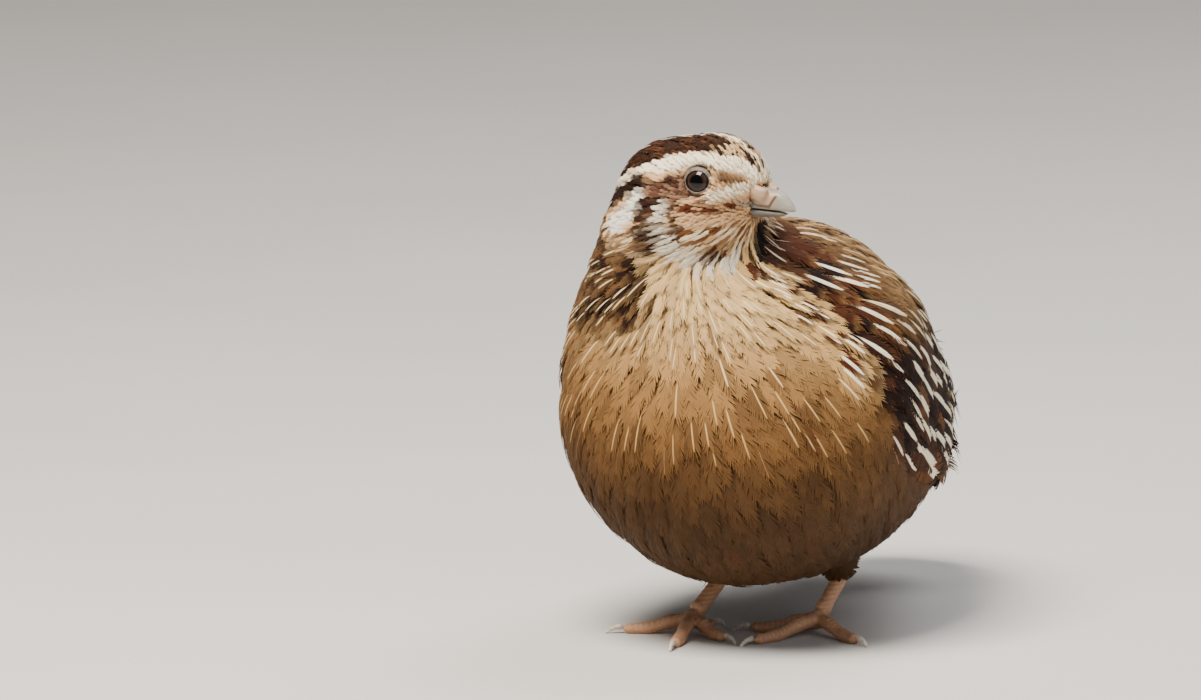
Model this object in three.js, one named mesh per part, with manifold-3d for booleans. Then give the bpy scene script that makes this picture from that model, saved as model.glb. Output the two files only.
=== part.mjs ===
// A male coturnix quail, life size, standing with its feathers fluffed and its head turned to its left.
// Millimetres, +Z up. The bird faces -Y, so its left side is +X.
import * as THREE from "three";
import { mergeVertices } from "three/addons/utils/BufferGeometryUtils.js";
import Module from "manifold-3d";

const wasm = await Module();
wasm.setup();
const { Manifold, Mesh } = wasm;
const vec = (x, y, z) => new THREE.Vector3(x, y, z);
const { lerp, smoothstep, degToRad, seededRandom } = THREE.MathUtils;

// Driving dimensions.
const GAP = 0.3; // clearance between neighbouring nodes
const FLOOR = 0;
const BREAST = { at: vec(0, -9, 50), size: vec(38, 33.5, 36) };
const BACK = { at: vec(0, 16.5, 54.5), size: vec(29.5, 35, 33) };
const BELLY = { at: vec(0, 13, 39), size: vec(35, 36, 27) };
const RUMP = { at: vec(0, 45, 42), size: vec(24, 27, 20) };
const SHOULDERS = { at: vec(0, 2, 66), size: vec(33.5, 24, 21) };
const NECK_LOW = { at: vec(-3, -13, 74), size: vec(28, 21, 18) };
const NECK_HIGH = { at: vec(-6.5, -21, 88), size: vec(18, 16, 16) };
const TORSO_BLEND = 9;
const NECK_BLEND = 11;
const HEAD_BLEND = 4;

const HEAD_AT = vec(-4, -27, 100.5);
const HEAD_YAW = 82; // degrees to the bird's left of straight ahead
const SKULL = { at: [-0.5, 0, -1.2], size: [13.9, 10.8, 12.2] }; // forward, to the right, up
const BROW = { at: [8.6, 0, 3.5], size: [10.8, 9, 9.2] };
const JOWL = { at: [3.5, 0, -5.5], size: [12.5, 10.8, 10] };
const MUZZLE = { at: [12.6, 0, 1.0], size: [8, 5.8, 5.2] };

const EYE_AT = [8.2, 5.9, 3.7];
const EYE_RADIUS = 3.7;
const EYE_OPENING = 2.55; // radius of the ring of the lids
const LID_THICKNESS = 0.55;
const GAZE = [0.2, 1, 0.12]; // which way the right eye faces: forward, to the right, up

// The bill, in the head's frame. Its two halves are rods with a rise at the root and at the tip,
// a half width and half height at the root, and a power for how late the height tapers.
const BILL_ROOT = 12;
const BILL_TIP = 28.6;
const BILL_TILT = 3; // degrees that it points below level
const BILL_ARCH = 0.4;
const BILL_EDGE = 0.37; // half thickness left at the tip
const MOUTH = -1.4; // height of the mouth's line
const UPPER_BILL = { root: 0.2, tip: -1.1, wide: 3.7, high: 3.1, taper: 2.4, end: BILL_TIP };
const LOWER_BILL = { root: -2.2, tip: -1.9, wide: 3.1, high: 1.7, taper: 2, end: BILL_TIP - 1.8 };
const NOSTRIL_FLAP = { from: [17.6, 3, 2.9], to: [22.4, 2.1, 1], wide: 1.25, high: 1.8 };
const BILL_SOCKET = 1.09; // size of the bill's socket in the head, as a share of the bill

const NECK_CUT = { at: vec(0, -40, 71.5), slope: 0.45 };
const HEAD_CUT = { at: vec(0, -42, 84), slope: 0.24 };

const PAD_HEIGHT = 1.9; // height of the wing's pad over the torso
const PAD_EDGE = 0.9; // and its height at the pad's edge
const WING_AREA = { at: vec(36, 16, 57), size: vec(24, 42, 21), pitch: -26 };
// Rows of the wing's feathers: place of the roots along the wing, highest and lowest root, how many
// feathers, their length and width. The numbers are millimetres from the middle of the wing.
const WING_ROWS = [
  { along: -31, high: 9, low: -9, count: 3, length: 14, width: 8.5 },
  { along: -22, high: 13, low: -12, count: 4, length: 15, width: 8.5 },
  { along: -12, high: 15, low: -14, count: 4, length: 17, width: 9 },
  { along: -1, high: 15, low: -15, count: 4, length: 19, width: 9.5 },
  { along: 10, high: 13, low: -14, count: 4, length: 24, width: 9 },
  { along: 22, high: 7, low: -11, count: 3, length: 27, width: 6.5 },
];
const SCAPULARS = { from: [-22, 20], to: [14, 17], count: 5, length: 19, width: 9 };
const LIE_FRONT = 40; // slope of the wing's feathers below level, in degrees, at the front
const LIE_REAR = 24; // and at the rear
const VANE_RISE = [1.1, 2.7]; // height over the body at a vane's root and at its tip
const VANE_THICK = 0.62;
const VANE_STEPS = 4;
const VANE_ROLL = 6; // degrees that one feather's edge lies over the next

const TAIL_ROOT = vec(0, 54, 46);
const TAIL_TIP = vec(0, 76, 32);
const TAIL_CORE = { wide: [15, 8], high: [10, 2.2] }; // half width and half height, root to tip
const RECTRICES = { count: 10, spread: 15, length: 34, width: 9.5 };
const FAN_HALF = 8.5; // half width of the fan at its roots
const FAN_BOW = [1.2, 2.4]; // how far its middle and its sides hang below the core's axis

const FOOT_AT = { left: vec(13.5, 5.5, 0), right: vec(-11.4, -5.6, 0) };
const HOCK_FROM_FOOT = { left: vec(1.5, 16, 15), right: vec(4.5, 15, 15) };
const THIGH = { at: vec(15, 3, 34), radius: [13, 2.5], reach: 0.62 }; // reach: share of the way to the hock
const TARSUS_RADIUS = 1.55;
const TOE_RADIUS = 1.35;
const TOE_SINK = 0.35; // how far a toe's round underside is flattened on the floor
const FOOT_HEIGHT = 4.6; // height of the joint where the toes meet
const TOES = {
  // Name of the toe: angle outwards from straight ahead, in degrees, and length.
  left: { inner: [-73, 15], middle: [-23, 19.5], outer: [57, 15.5], hind: [-160, 8.5] },
  right: { inner: [-60, 12.5], middle: [-11, 18], outer: [66, 15], hind: [-165, 8.5] },
};
const CLAW_LENGTH = 4.6;
const CLAW_ROOT = 1.35; // height of a claw's axis where it leaves the toe
const CLAW_ARCH = 1.9; // at its middle
const CLAW_END = -0.45; // and at its end, which the floor cuts flat
const HIND_SIZE = 0.8; // size of the hind toe and its claw beside the others

// Colours and finishes, read off the bird.
const finish = (color, roughness) =>
  new THREE.MeshStandardMaterial({ color, roughness, metalness: 0 });
const BUFF = finish(0xb98f5a, 0.9);
const HEAD_BROWN = finish(0x8f6b4a, 0.9);
const WING_BROWN = finish(0x5a3a26, 0.85);
const TAIL_BROWN = finish(0x6b4a30, 0.85);
const THIGH_BROWN = finish(0x8a6440, 0.9);
const HORN = finish(0x8a8d8c, 0.45);
const LEG_SKIN = finish(0xc79a7c, 0.6);
const CLAW_HORN = finish(0xcfc3b4, 0.5);
const EYE_BLACK = finish(0x120d0b, 0.1);

// Signed distance, near enough, from a point to an ellipsoid.
function ellipsoid(p, at, size) {
  const q = vec(p.x - at.x, p.y - at.y, p.z - at.z);
  const near = q.clone().divide(size).length();
  const far = q.divide(size).divide(size).length();
  return far < 1e-9 ? -size.x : (near * (near - 1)) / far;
}

function blend(a, b, width) {
  const h = Math.max(width - Math.abs(a - b), 0) / width;
  return Math.min(a, b) - (h * h * width) / 4;
}

const headTurn = new THREE.Matrix4().makeRotationZ(degToRad(HEAD_YAW));
const headFrame = new THREE.Matrix4().makeTranslation(HEAD_AT).multiply(headTurn);
const intoHead = headFrame.clone().invert();
// A point in the head's own frame: forward, to the bird's right, up.
const onHead = ([forward, right, up]) => vec(-right, -forward, up).applyMatrix4(headFrame);
const headForm = (q, { at, size }) =>
  ellipsoid(q, vec(-at[1], -at[0], at[2]), vec(size[1], size[0], size[2]));

function trunk(p) {
  let d = ellipsoid(p, BREAST.at, BREAST.size);
  for (const part of [BACK, BELLY, RUMP, SHOULDERS]) {
    d = blend(d, ellipsoid(p, part.at, part.size), TORSO_BLEND);
  }
  return d;
}

function headOnly(p) {
  const q = p.clone().applyMatrix4(intoHead);
  let d = headForm(q, SKULL);
  for (const part of [BROW, JOWL, MUZZLE]) d = blend(d, headForm(q, part), HEAD_BLEND);
  return d;
}

// The whole feathered body as one form: trunk, neck and head run into one another.
function body(p) {
  let d = blend(trunk(p), ellipsoid(p, NECK_LOW.at, NECK_LOW.size), NECK_BLEND);
  d = blend(d, ellipsoid(p, NECK_HIGH.at, NECK_HIGH.size), NECK_BLEND);
  return blend(d, headOnly(p), HEAD_BLEND);
}

function solid(geometry) {
  const plain = geometry.clone();
  plain.deleteAttribute("normal");
  plain.deleteAttribute("uv");
  const merged = mergeVertices(plain, 1e-4);
  const made = new Manifold(
    new Mesh({
      numProp: 3,
      vertProperties: new Float32Array(merged.attributes.position.array),
      triVerts: new Uint32Array(merged.index.array),
    }),
  );
  return made;
}

// The surface where a form's distance is `level`, seen from a point inside it.
function skinOf(form, centre, level, detail, reach = 140) {
  const ball = new THREE.IcosahedronGeometry(1, detail);
  const place = ball.attributes.position;
  const known = new Map();
  for (let i = 0; i < place.count; i++) {
    const out = vec(place.getX(i), place.getY(i), place.getZ(i)).normalize();
    const key = out.toArray().map((c) => Math.round(c * 1e5)).join();
    if (!known.has(key)) {
      let low = 0;
      let high = 1;
      const at = (r) => form(centre.clone().addScaledVector(out, r)) - level;
      while (high < reach && at(high) < 0) {
        low = high;
        high += 1.5;
      }
      for (let k = 0; k < 22; k++) {
        const mid = (low + high) / 2;
        if (at(mid) < 0) low = mid;
        else high = mid;
      }
      known.set(key, centre.clone().addScaledVector(out, low));
    }
    place.setXYZ(i, ...known.get(key).toArray());
  }
  return solid(ball);
}

// A round rod along a curve, closed by rounded ends: radius(t) gives its half width and half height.
function rod(curve, radius, sides, rings, up = vec(0, 0, 1)) {
  const ball = new THREE.SphereGeometry(1, sides, rings);
  const place = ball.attributes.position;
  for (let i = 0; i < place.count; i++) {
    const [x, y, z] = [place.getX(i), place.getY(i), place.getZ(i)];
    const t = Math.acos(THREE.MathUtils.clamp(y, -1, 1)) / Math.PI;
    const along = curve.getTangentAt(t);
    const side = along.clone().cross(up).normalize();
    const over = side.clone().cross(along);
    const ring = Math.hypot(x, z);
    const [wide, high] = ring < 1e-6 ? [0, 0] : radius(t).map((r) => r / ring);
    const at = curve.getPointAt(t);
    at.addScaledVector(side, x * wide).addScaledVector(over, z * high);
    place.setXYZ(i, at.x, at.y, at.z);
  }
  const made = solid(ball);
  return made.volume() < 0 ? solid(flipped(ball)) : made;
}

function flipped(geometry) {
  const turned = geometry.clone();
  const index = turned.index.array;
  for (let i = 0; i < index.length; i += 3) {
    [index[i + 1], index[i + 2]] = [index[i + 2], index[i + 1]];
  }
  return turned;
}

const ball = (at, radius, detail) => {
  const made = new THREE.IcosahedronGeometry(radius, detail);
  return solid(made.translate(at.x, at.y, at.z));
};

// What lies above a sloping cut, or below it with side -1.
function cutBy(made, { at, slope }, side) {
  const normal = vec(0, -slope, 1).normalize();
  const offset = normal.dot(at);
  const way = [normal.x * side, normal.y * side, normal.z * side];
  return made.trimByPlane(way, side * offset + GAP / 2);
}

function largest(made) {
  return made.decompose().sort((a, b) => b.volume() - a.volume())[0];
}

const group = new THREE.Group();

function addNode(name, made, material) {
  const kept = largest(made);
  const { numProp, vertProperties, triVerts } = kept.getMesh();
  const place = new Float32Array((vertProperties.length / numProp) * 3);
  for (let i = 0; i < place.length / 3; i++) {
    place.set(vertProperties.subarray(i * numProp, i * numProp + 3), i * 3);
  }
  const geometry = new THREE.BufferGeometry();
  geometry.setAttribute("position", new THREE.BufferAttribute(place, 3));
  geometry.setIndex(new THREE.BufferAttribute(triVerts, 1));
  geometry.computeVertexNormals();
  const mesh = new THREE.Mesh(geometry, material);
  mesh.name = name;
  group.add(mesh);
}

// Eyes: round balls set deep in the head, each in a socket ringed by the lids.
function eyePlace(side) {
  const [forward, right, up] = EYE_AT;
  return onHead([forward, side * right, up]);
}

function gazeOf(side) {
  const [forward, right, up] = GAZE;
  return onHead([forward, side * right, up]).sub(HEAD_AT).normalize();
}

function lidRing(side) {
  const gaze = gazeOf(side);
  const out = Math.sqrt(EYE_RADIUS ** 2 - EYE_OPENING ** 2);
  const ring = new THREE.TorusGeometry(EYE_OPENING + LID_THICKNESS * 0.4, LID_THICKNESS, 5, 16);
  const turn = new THREE.Quaternion().setFromUnitVectors(vec(0, 0, 1), gaze);
  const at = eyePlace(side).addScaledVector(gaze, out);
  return solid(ring.applyQuaternion(turn).translate(at.x, at.y, at.z));
}

function eyeWindow(side) {
  const depth = 8;
  const gaze = gazeOf(side);
  const hole = new THREE.CylinderGeometry(EYE_OPENING, EYE_OPENING, depth, 16);
  const turn = new THREE.Quaternion().setFromUnitVectors(vec(0, 1, 0), gaze);
  const at = eyePlace(side).addScaledVector(gaze, depth / 2 + 1);
  return solid(hole.applyQuaternion(turn).translate(at.x, at.y, at.z));
}

// Bill: a stout, down-curved upper half with a fleshy flap over each nostril, and a slim lower half.
const billFrame = headFrame.clone();
billFrame.multiply(new THREE.Matrix4().makeTranslation(0, -BILL_ROOT, 0));
billFrame.multiply(new THREE.Matrix4().makeRotationX(degToRad(BILL_TILT)));
billFrame.multiply(new THREE.Matrix4().makeTranslation(0, BILL_ROOT, 0));
const onBill = ([forward, right, up]) => vec(-right, -forward, up).applyMatrix4(billFrame);

function billHalf({ root, tip, wide, high, taper, end }) {
  const curve = new THREE.QuadraticBezierCurve3(
    onBill([BILL_ROOT, 0, root]),
    onBill([lerp(BILL_ROOT, end, 0.6), 0, root + BILL_ARCH]),
    onBill([end, 0, tip]),
  );
  const width = (t) => wide * (1 - t) ** 0.7 + BILL_EDGE;
  const height = (t) => high * (1 - t ** taper) + BILL_EDGE;
  return rod(curve, (t) => [width(t), height(t)], 14, 10);
}

function upperBill() {
  const { from, to, wide, high } = NOSTRIL_FLAP;
  let made = billHalf(UPPER_BILL);
  for (const side of [1, -1]) {
    const [start, end] = [from, to].map(([forward, right, up]) => onBill([forward, side * right, up]));
    const bulge = (t) => wide * Math.sin(Math.PI * lerp(0.15, 0.85, t));
    made = made.add(rod(new THREE.LineCurve3(start, end), (t) => [bulge(t), high], 8, 6));
  }
  return made;
}

// The mouth's line: everything below it belongs to the lower half of the bill.
function mouthBlock() {
  const [wide, long, deep] = [20, 30, 10];
  const block = new THREE.BoxGeometry(wide, long, deep);
  block.translate(0, 8 - BILL_TIP, MOUTH - deep / 2);
  return solid(block.applyMatrix4(billFrame));
}

// Legs: a feathered thigh, a scaly shank and four toes, each with its claw.
const heading = (side, angle) => {
  const turn = degToRad(angle) * (side === "left" ? 1 : -1);
  return vec(Math.sin(turn), -Math.cos(turn), 0);
};

const hockOf = (side) => FOOT_AT[side].clone().add(HOCK_FROM_FOOT[side]);

function thigh(side, extra = 0) {
  const out = side === "left" ? 1 : -1;
  const low = FOOT_AT[side].clone().lerp(hockOf(side), THIGH.reach).add(vec(0, 0, TARSUS_RADIUS));
  const curve = new THREE.LineCurve3(THIGH.at.clone().multiply(vec(out, 1, 1)), low);
  return rod(curve, (t) => Array(2).fill(lerp(...THIGH.radius, t ** 0.8) + extra), 16, 12);
}

function shank(side) {
  const foot = FOOT_AT[side].clone().setZ(FOOT_HEIGHT - 1.2);
  const curve = new THREE.CatmullRomCurve3([
    foot,
    foot.clone().lerp(hockOf(side), 0.5),
    hockOf(side),
  ]);
  const swell = (t) => TARSUS_RADIUS * (1 + 0.35 * (1 - smoothstep(t, 0, 0.25)));
  return rod(curve, (t) => [swell(t) * 0.92, swell(t) * 1.1], 10, 8);
}

function toeLine(side, [angle, length]) {
  const way = heading(side, angle);
  const foot = FOOT_AT[side];
  const low = TOE_RADIUS - TOE_SINK;
  return new THREE.CatmullRomCurve3([
    foot.clone().setZ(FOOT_HEIGHT - 1.4),
    foot.clone().addScaledVector(way, length * 0.3).setZ(lerp(FOOT_HEIGHT, low, 0.55)),
    foot.clone().addScaledVector(way, length * 0.62).setZ(low + 0.15),
    foot.clone().addScaledVector(way, length).setZ(low),
  ]);
}

function toe(side, name, extra) {
  const [angle, length] = TOES[side][name];
  const joints = name === "hind" ? 1 : 3;
  const thin = name === "hind" ? HIND_SIZE : 1;
  const swell = (t) => lerp(1.12, 0.86, t) + 0.09 * Math.cos(2 * Math.PI * joints * t);
  const size = (t) => thin * TOE_RADIUS * swell(t) + extra;
  return rod(toeLine(side, [angle, length]), (t) => [size(t), size(t)], 8, 2 + joints * 3);
}

function claw(side, name) {
  const [angle, length] = TOES[side][name];
  const way = heading(side, angle);
  const start = FOOT_AT[side].clone().addScaledVector(way, length - 0.6);
  const size = CLAW_LENGTH * (name === "hind" ? HIND_SIZE : 1);
  const curve = new THREE.QuadraticBezierCurve3(
    start.clone().setZ(CLAW_ROOT),
    start.clone().addScaledVector(way, size * 0.6).setZ(CLAW_ARCH),
    start.clone().addScaledVector(way, size).setZ(CLAW_END),
  );
  const made = rod(curve, (t) => [lerp(0.8, 0.3, t), lerp(0.85, 0.3, t)], 6, 6);
  return made.trimByPlane([0, 0, 1], FLOOR);
}

function foot(side, extra = 0) {
  let made = ball(FOOT_AT[side].clone().setZ(FOOT_HEIGHT - 1.5), 2 + extra, 2);
  for (const name of Object.keys(TOES[side])) made = made.add(toe(side, name, extra));
  return made.trimByPlane([0, 0, 1], FLOOR - extra);
}

const TORSO_CENTRE = vec(0, 12, 47);
const TORSO_DETAIL = 7;
const PAD_DETAIL = 5;
const HEAD_DETAIL = 7;
const NECK_DETAIL = 6;
const torsoForm = skinOf(body, TORSO_CENTRE, 0, TORSO_DETAIL);
const torsoSpace = skinOf(body, TORSO_CENTRE, GAP, TORSO_DETAIL);
const NECK_CENTRE = vec(-3, -19, 83);
const neckForm = skinOf(body, NECK_CENTRE, 0, NECK_DETAIL);
const neckSpace = skinOf(body, NECK_CENTRE, GAP, NECK_DETAIL);
const headSkin = skinOf(body, HEAD_AT.clone().add(vec(0, 0, -1)), 0, HEAD_DETAIL);

// Which way is out from the body at a point.
function outward(p) {
  const step = 0.2;
  const slope = (way) => body(p.clone().add(way)) - body(p.clone().sub(way));
  return vec(slope(vec(step, 0, 0)), slope(vec(0, step, 0)), slope(vec(0, 0, step))).normalize();
}

// Moves a point in or out until it stands at a height over the body.
function settle(p, height) {
  for (let k = 0; k < 4; k++) p.addScaledVector(outward(p), height - body(p));
  return p;
}

// Stations of a feather that follows the body from its root, rising towards its tip.
function alongBody(root, lie, length) {
  const stations = [];
  const at = settle(root.clone(), VANE_RISE[0]);
  for (let i = 0; i <= VANE_STEPS; i++) {
    const up = outward(at);
    const along = lie.clone().addScaledVector(up, -up.dot(lie)).normalize();
    stations.push({ at: at.clone(), up, side: along.clone().cross(up) });
    at.addScaledVector(along, length / VANE_STEPS);
    settle(at, lerp(...VANE_RISE, (i + 1) / VANE_STEPS));
  }
  return stations;
}

// A feather's vane, one closed blade through its stations.
function vane(stations, width, pointed, roll) {
  const blade = new THREE.BoxGeometry(1, 1, 1, 1, VANE_STEPS, 1);
  const place = blade.attributes.position;
  for (let i = 0; i < place.count; i++) {
    const t = place.getY(i) + 0.5;
    const { at, up, side } = stations[Math.round(t * VANE_STEPS)];
    const profile = Math.sin(Math.PI * lerp(0.16, 0.9, t ** (pointed ? 0.8 : 1.25))) ** 0.7;
    const across = place.getX(i) * width * profile;
    const over = across * Math.tan(degToRad(roll)) + place.getZ(i) * VANE_THICK * lerp(1, 0.6, t);
    const point = at.clone().addScaledVector(side, across).addScaledVector(up, over);
    place.setXYZ(i, point.x, point.y, point.z);
  }
  return solid(blade);
}

// Wing: a pad that hugs the side of the body and carries the wing's feathers.
const wingTurn = new THREE.Matrix4().makeRotationX(degToRad(WING_AREA.pitch));
const onWing = (along, high) =>
  vec(0, along, high).applyMatrix4(wingTurn).add(WING_AREA.at);

function padLevel(p) {
  const q = vec(Math.abs(p.x), p.y, p.z).sub(WING_AREA.at);
  q.applyMatrix4(wingTurn.clone().invert()).divide(WING_AREA.size);
  return lerp(PAD_HEIGHT, PAD_EDGE, smoothstep(q.length(), 0.6, 1));
}

const overWing = skinOf((p) => body(p) - padLevel(p), TORSO_CENTRE, 0, PAD_DETAIL);

function wingPad(sign) {
  const { at, size, pitch } = WING_AREA;
  const area = new THREE.IcosahedronGeometry(1, 5).scale(size.x, size.y, size.z);
  area.rotateX(degToRad(pitch)).translate(sign * at.x, at.y, at.z);
  return overWing.intersect(solid(area));
}

// The point of the left side at a place along and up the wing.
function sidePoint(along, high) {
  const { y, z } = onWing(along, high);
  let low = 0;
  let far = 60;
  for (let k = 0; k < 20; k++) {
    const mid = (low + far) / 2;
    if (body(vec(mid, y, z)) < 0) low = mid;
    else far = mid;
  }
  return vec(low, y, z);
}

function wingVane(along, high, { length, width }, sign, pointed) {
  const vary = () => lerp(0.93, 1.07, seededRandom());
  const fall = degToRad(lerp(LIE_FRONT, LIE_REAR, smoothstep(along, -30, 15)) * vary());
  const lie = vec(0.1 * sign, Math.cos(fall), -Math.sin(fall));
  const root = sidePoint(along, high);
  root.x *= sign;
  return vane(alongBody(root, lie, length * vary()), width * vary(), pointed, VANE_ROLL * sign);
}

function wingVanes(sign) {
  const made = [];
  seededRandom(5 + sign);
  for (const row of WING_ROWS) {
    for (let i = 0; i < row.count; i++) {
      const high = lerp(row.high, row.low, i / (row.count - 1));
      const bow = 4 * (high / 16) ** 2;
      made.push(wingVane(row.along + bow, high, row, sign, row.width < 7));
    }
  }
  for (let i = 0; i < SCAPULARS.count; i++) {
    const [along, high] = SCAPULARS.from.map((v, k) => {
      return lerp(v, SCAPULARS.to[k], i / (SCAPULARS.count - 1));
    });
    made.push(wingVane(along, high, SCAPULARS, sign, false));
  }
  return made;
}

// Tail: a short, drooping fan of feathers on a core.
function tailCore() {
  const curve = new THREE.LineCurve3(TAIL_ROOT, TAIL_TIP);
  return rod(curve, (t) => [lerp(...TAIL_CORE.wide, t), lerp(...TAIL_CORE.high, t)], 16, 9);
}

function tailVanes() {
  const made = [];
  const { count, spread, length, width } = RECTRICES;
  const fall = TAIL_TIP.clone().sub(TAIL_ROOT).normalize();
  const up = vec(1, 0, 0).cross(fall);
  for (let i = 0; i < count; i++) {
    const place = lerp(-1, 1, i / (count - 1));
    const turn = degToRad(spread * place);
    const along = fall.clone().multiplyScalar(Math.cos(turn)).add(vec(Math.sin(turn), 0, 0));
    const drop = FAN_BOW[0] + FAN_BOW[1] * place ** 2;
    const root = TAIL_ROOT.clone().addScaledVector(fall, 4).add(vec(FAN_HALF * place, 0, 0));
    const stations = [];
    for (let k = 0; k <= VANE_STEPS; k++) {
      const t = k / VANE_STEPS;
      const at = root.clone().addScaledVector(along, t * length * (1 - 0.1 * place ** 2));
      at.addScaledVector(up, -drop * lerp(0.6, 1.2, t) - 1.5 * t * t);
      stations.push({ at, up, side: along.clone().cross(up) });
    }
    made.push(vane(stations, width, false, i % 2 ? 3 : -3));
  }
  return made;
}

const sides = { left: 1, right: -1 };
const bothThighs = thigh("left", GAP).add(thigh("right", GAP));
const joined = (first, others) => Manifold.union([first, ...others]);

// The wings lie over the root of the tail, so the tail is cut clear of them.
const wings = {};
let tail = joined(tailCore(), tailVanes()).subtract(torsoSpace);
for (const [side, sign] of Object.entries(sides)) {
  const whole = joined(wingPad(sign), wingVanes(sign));
  wings[side] = whole.subtract(torsoSpace).subtract(neckSpace).subtract(bothThighs);
  for (const way of [[GAP, 0, 0], [-GAP, 0, 0], [0, 0, GAP], [0, 0, -GAP], [0, GAP, 0]]) {
    tail = tail.subtract(wings[side].translate(way));
  }
}

addNode("torso", cutBy(torsoForm, NECK_CUT, -1).subtract(bothThighs), BUFF);
addNode("neck", cutBy(cutBy(neckForm, NECK_CUT, 1), HEAD_CUT, -1), BUFF);

let head = cutBy(headSkin, HEAD_CUT, 1);
for (const side of [1, -1]) {
  head = head.add(lidRing(side)).subtract(eyeWindow(side));
  head = head.subtract(ball(eyePlace(side), EYE_RADIUS + GAP, 2));
}
const upper = upperBill();
const lower = billHalf(LOWER_BILL);
// A solid grown or shrunk about a point.
const grow = (made, centre, by) =>
  made.translate(centre.clone().negate().toArray()).scale(by).translate(centre.toArray());
const billMiddle = onHead([16, 0, -1]);
const backwards = onHead([-GAP, 0, 0]).sub(HEAD_AT).toArray();
let socket = grow(upper.add(lower), billMiddle, BILL_SOCKET);
for (const way of [backwards, [0, 0, GAP], [0, 0, -GAP]]) socket = socket.add(upper.translate(way));
addNode("head", head.subtract(socket), HEAD_BROWN);
addNode("bill_upper", upper.subtract(mouthBlock()), HORN);
addNode("bill_lower", lower.intersect(mouthBlock().translate([0, 0, -GAP])), HORN);

for (const [side, sign] of Object.entries(sides)) {
  addNode(`eye_${side}`, ball(eyePlace(-sign), EYE_RADIUS, 2), EYE_BLACK);
  addNode(`wing_${side}`, wings[side], WING_BROWN);
  addNode(`thigh_${side}`, thigh(side), THIGH_BROWN);
  const footSpace = foot(side, GAP);
  const shankBelow = shank(side).subtract(torsoSpace).subtract(thigh(side, GAP));
  addNode(`shank_${side}`, shankBelow.subtract(footSpace), LEG_SKIN);
  addNode(`foot_${side}`, foot(side), LEG_SKIN);
  for (const name of Object.keys(TOES[side])) {
    addNode(`claw_${name}_${side}`, claw(side, name).subtract(footSpace), CLAW_HORN);
  }
}
addNode("tail", tail, TAIL_BROWN);

const box = new THREE.Box3().setFromObject(group);
const middle = box.getCenter(vec(0, 0, 0));
group.position.set(-middle.x, -middle.y, -box.min.z);

export default group;
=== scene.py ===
"""A male coturnix quail, life size, as a still museum model: feathers over one skin, with glass eyes, a horn
bill and scaly feet."""
import math

import bpy
import numpy as np
from mathutils import Matrix, Vector
from mathutils.bvhtree import BVHTree
from mathutils.kdtree import KDTree


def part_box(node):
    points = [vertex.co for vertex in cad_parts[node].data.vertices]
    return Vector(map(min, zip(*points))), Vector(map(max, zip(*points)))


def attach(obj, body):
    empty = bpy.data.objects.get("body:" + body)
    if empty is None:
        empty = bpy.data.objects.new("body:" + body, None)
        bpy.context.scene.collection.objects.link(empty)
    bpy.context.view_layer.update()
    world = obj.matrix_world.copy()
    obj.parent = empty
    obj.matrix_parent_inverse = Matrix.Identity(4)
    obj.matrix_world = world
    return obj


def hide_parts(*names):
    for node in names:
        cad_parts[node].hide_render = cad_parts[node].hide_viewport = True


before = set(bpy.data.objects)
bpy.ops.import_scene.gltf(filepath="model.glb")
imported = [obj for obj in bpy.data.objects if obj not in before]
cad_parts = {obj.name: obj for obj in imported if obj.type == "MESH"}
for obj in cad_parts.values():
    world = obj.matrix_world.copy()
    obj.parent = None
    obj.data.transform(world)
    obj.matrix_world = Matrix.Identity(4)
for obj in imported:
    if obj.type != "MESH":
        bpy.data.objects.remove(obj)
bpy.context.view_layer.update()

# The view. The photograph was taken with a long lens from low in front, a little to the bird's left.
# The bird's own millimetres start on the floor midway between its feet, and its right eye, the sharpest
# point of the picture, ties them to the solids.
MM = 0.001
RIGHT_EYE = Vector((3.3, -33.98, 104.2))
eye_low, eye_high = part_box("eye_right")
ORIGIN = (eye_low + eye_high) / 2 - RIGHT_EYE * MM
VIEW_TURN = math.radians(24)
VIEW_RISE = math.radians(10)
VIEW_DISTANCE = 3500
PIXEL = 0.215  # millimetres for each pixel of the picture, at the bird
WIDE, HIGH = 1201, 700
FEET_PIXEL = (751, 645)
FLOOR_AHEAD = 13.75  # how far the middle of the view lies in front of the feet
SENSOR = 36

toward = Vector((math.sin(VIEW_TURN), -math.cos(VIEW_TURN), 0))
view_back = toward * math.cos(VIEW_RISE) + Vector((0, 0, math.sin(VIEW_RISE)))
view_right = Vector((math.cos(VIEW_TURN), math.sin(VIEW_TURN), 0))
view_up = view_back.cross(view_right)
aim = toward * FLOOR_AHEAD
aim += view_right * (WIDE / 2 - FEET_PIXEL[0]) * PIXEL + view_up * (FEET_PIXEL[1] - HIGH / 2) * PIXEL
bpy.ops.object.select_all(action="DESELECT")
bpy.ops.object.camera_add(location=ORIGIN + (aim + view_back * VIEW_DISTANCE) * MM)
camera = bpy.context.object
camera.name = "camera"
camera.rotation_mode = "QUATERNION"
camera.rotation_quaternion = (-view_back).to_track_quat("-Z", "Y")
camera.data.sensor_width = SENSOR
camera.data.lens = SENSOR * VIEW_DISTANCE / (WIDE * PIXEL)
camera.data.clip_start, camera.data.clip_end = 0.05, 20
bpy.context.scene.camera = camera


# Floor and light. A pale sweep of matt paper under a broad soft light from above and a little to the left, a
# weak fill from the right and a rim light from behind, as in a studio.
BODY_MIDDLE = 0.055
FLOOR_SIZE = 6
PAPER_GRAIN = 16.7


def linear(colour):
    """An sRGB hex colour as linear red, green, blue and 1."""
    parts = [int(colour[k : k + 2], 16) / 255 for k in (1, 3, 5)]
    return (*[c / 12.92 if c <= 0.04045 else ((c + 0.055) / 1.055) ** 2.4 for c in parts], 1)


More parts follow.
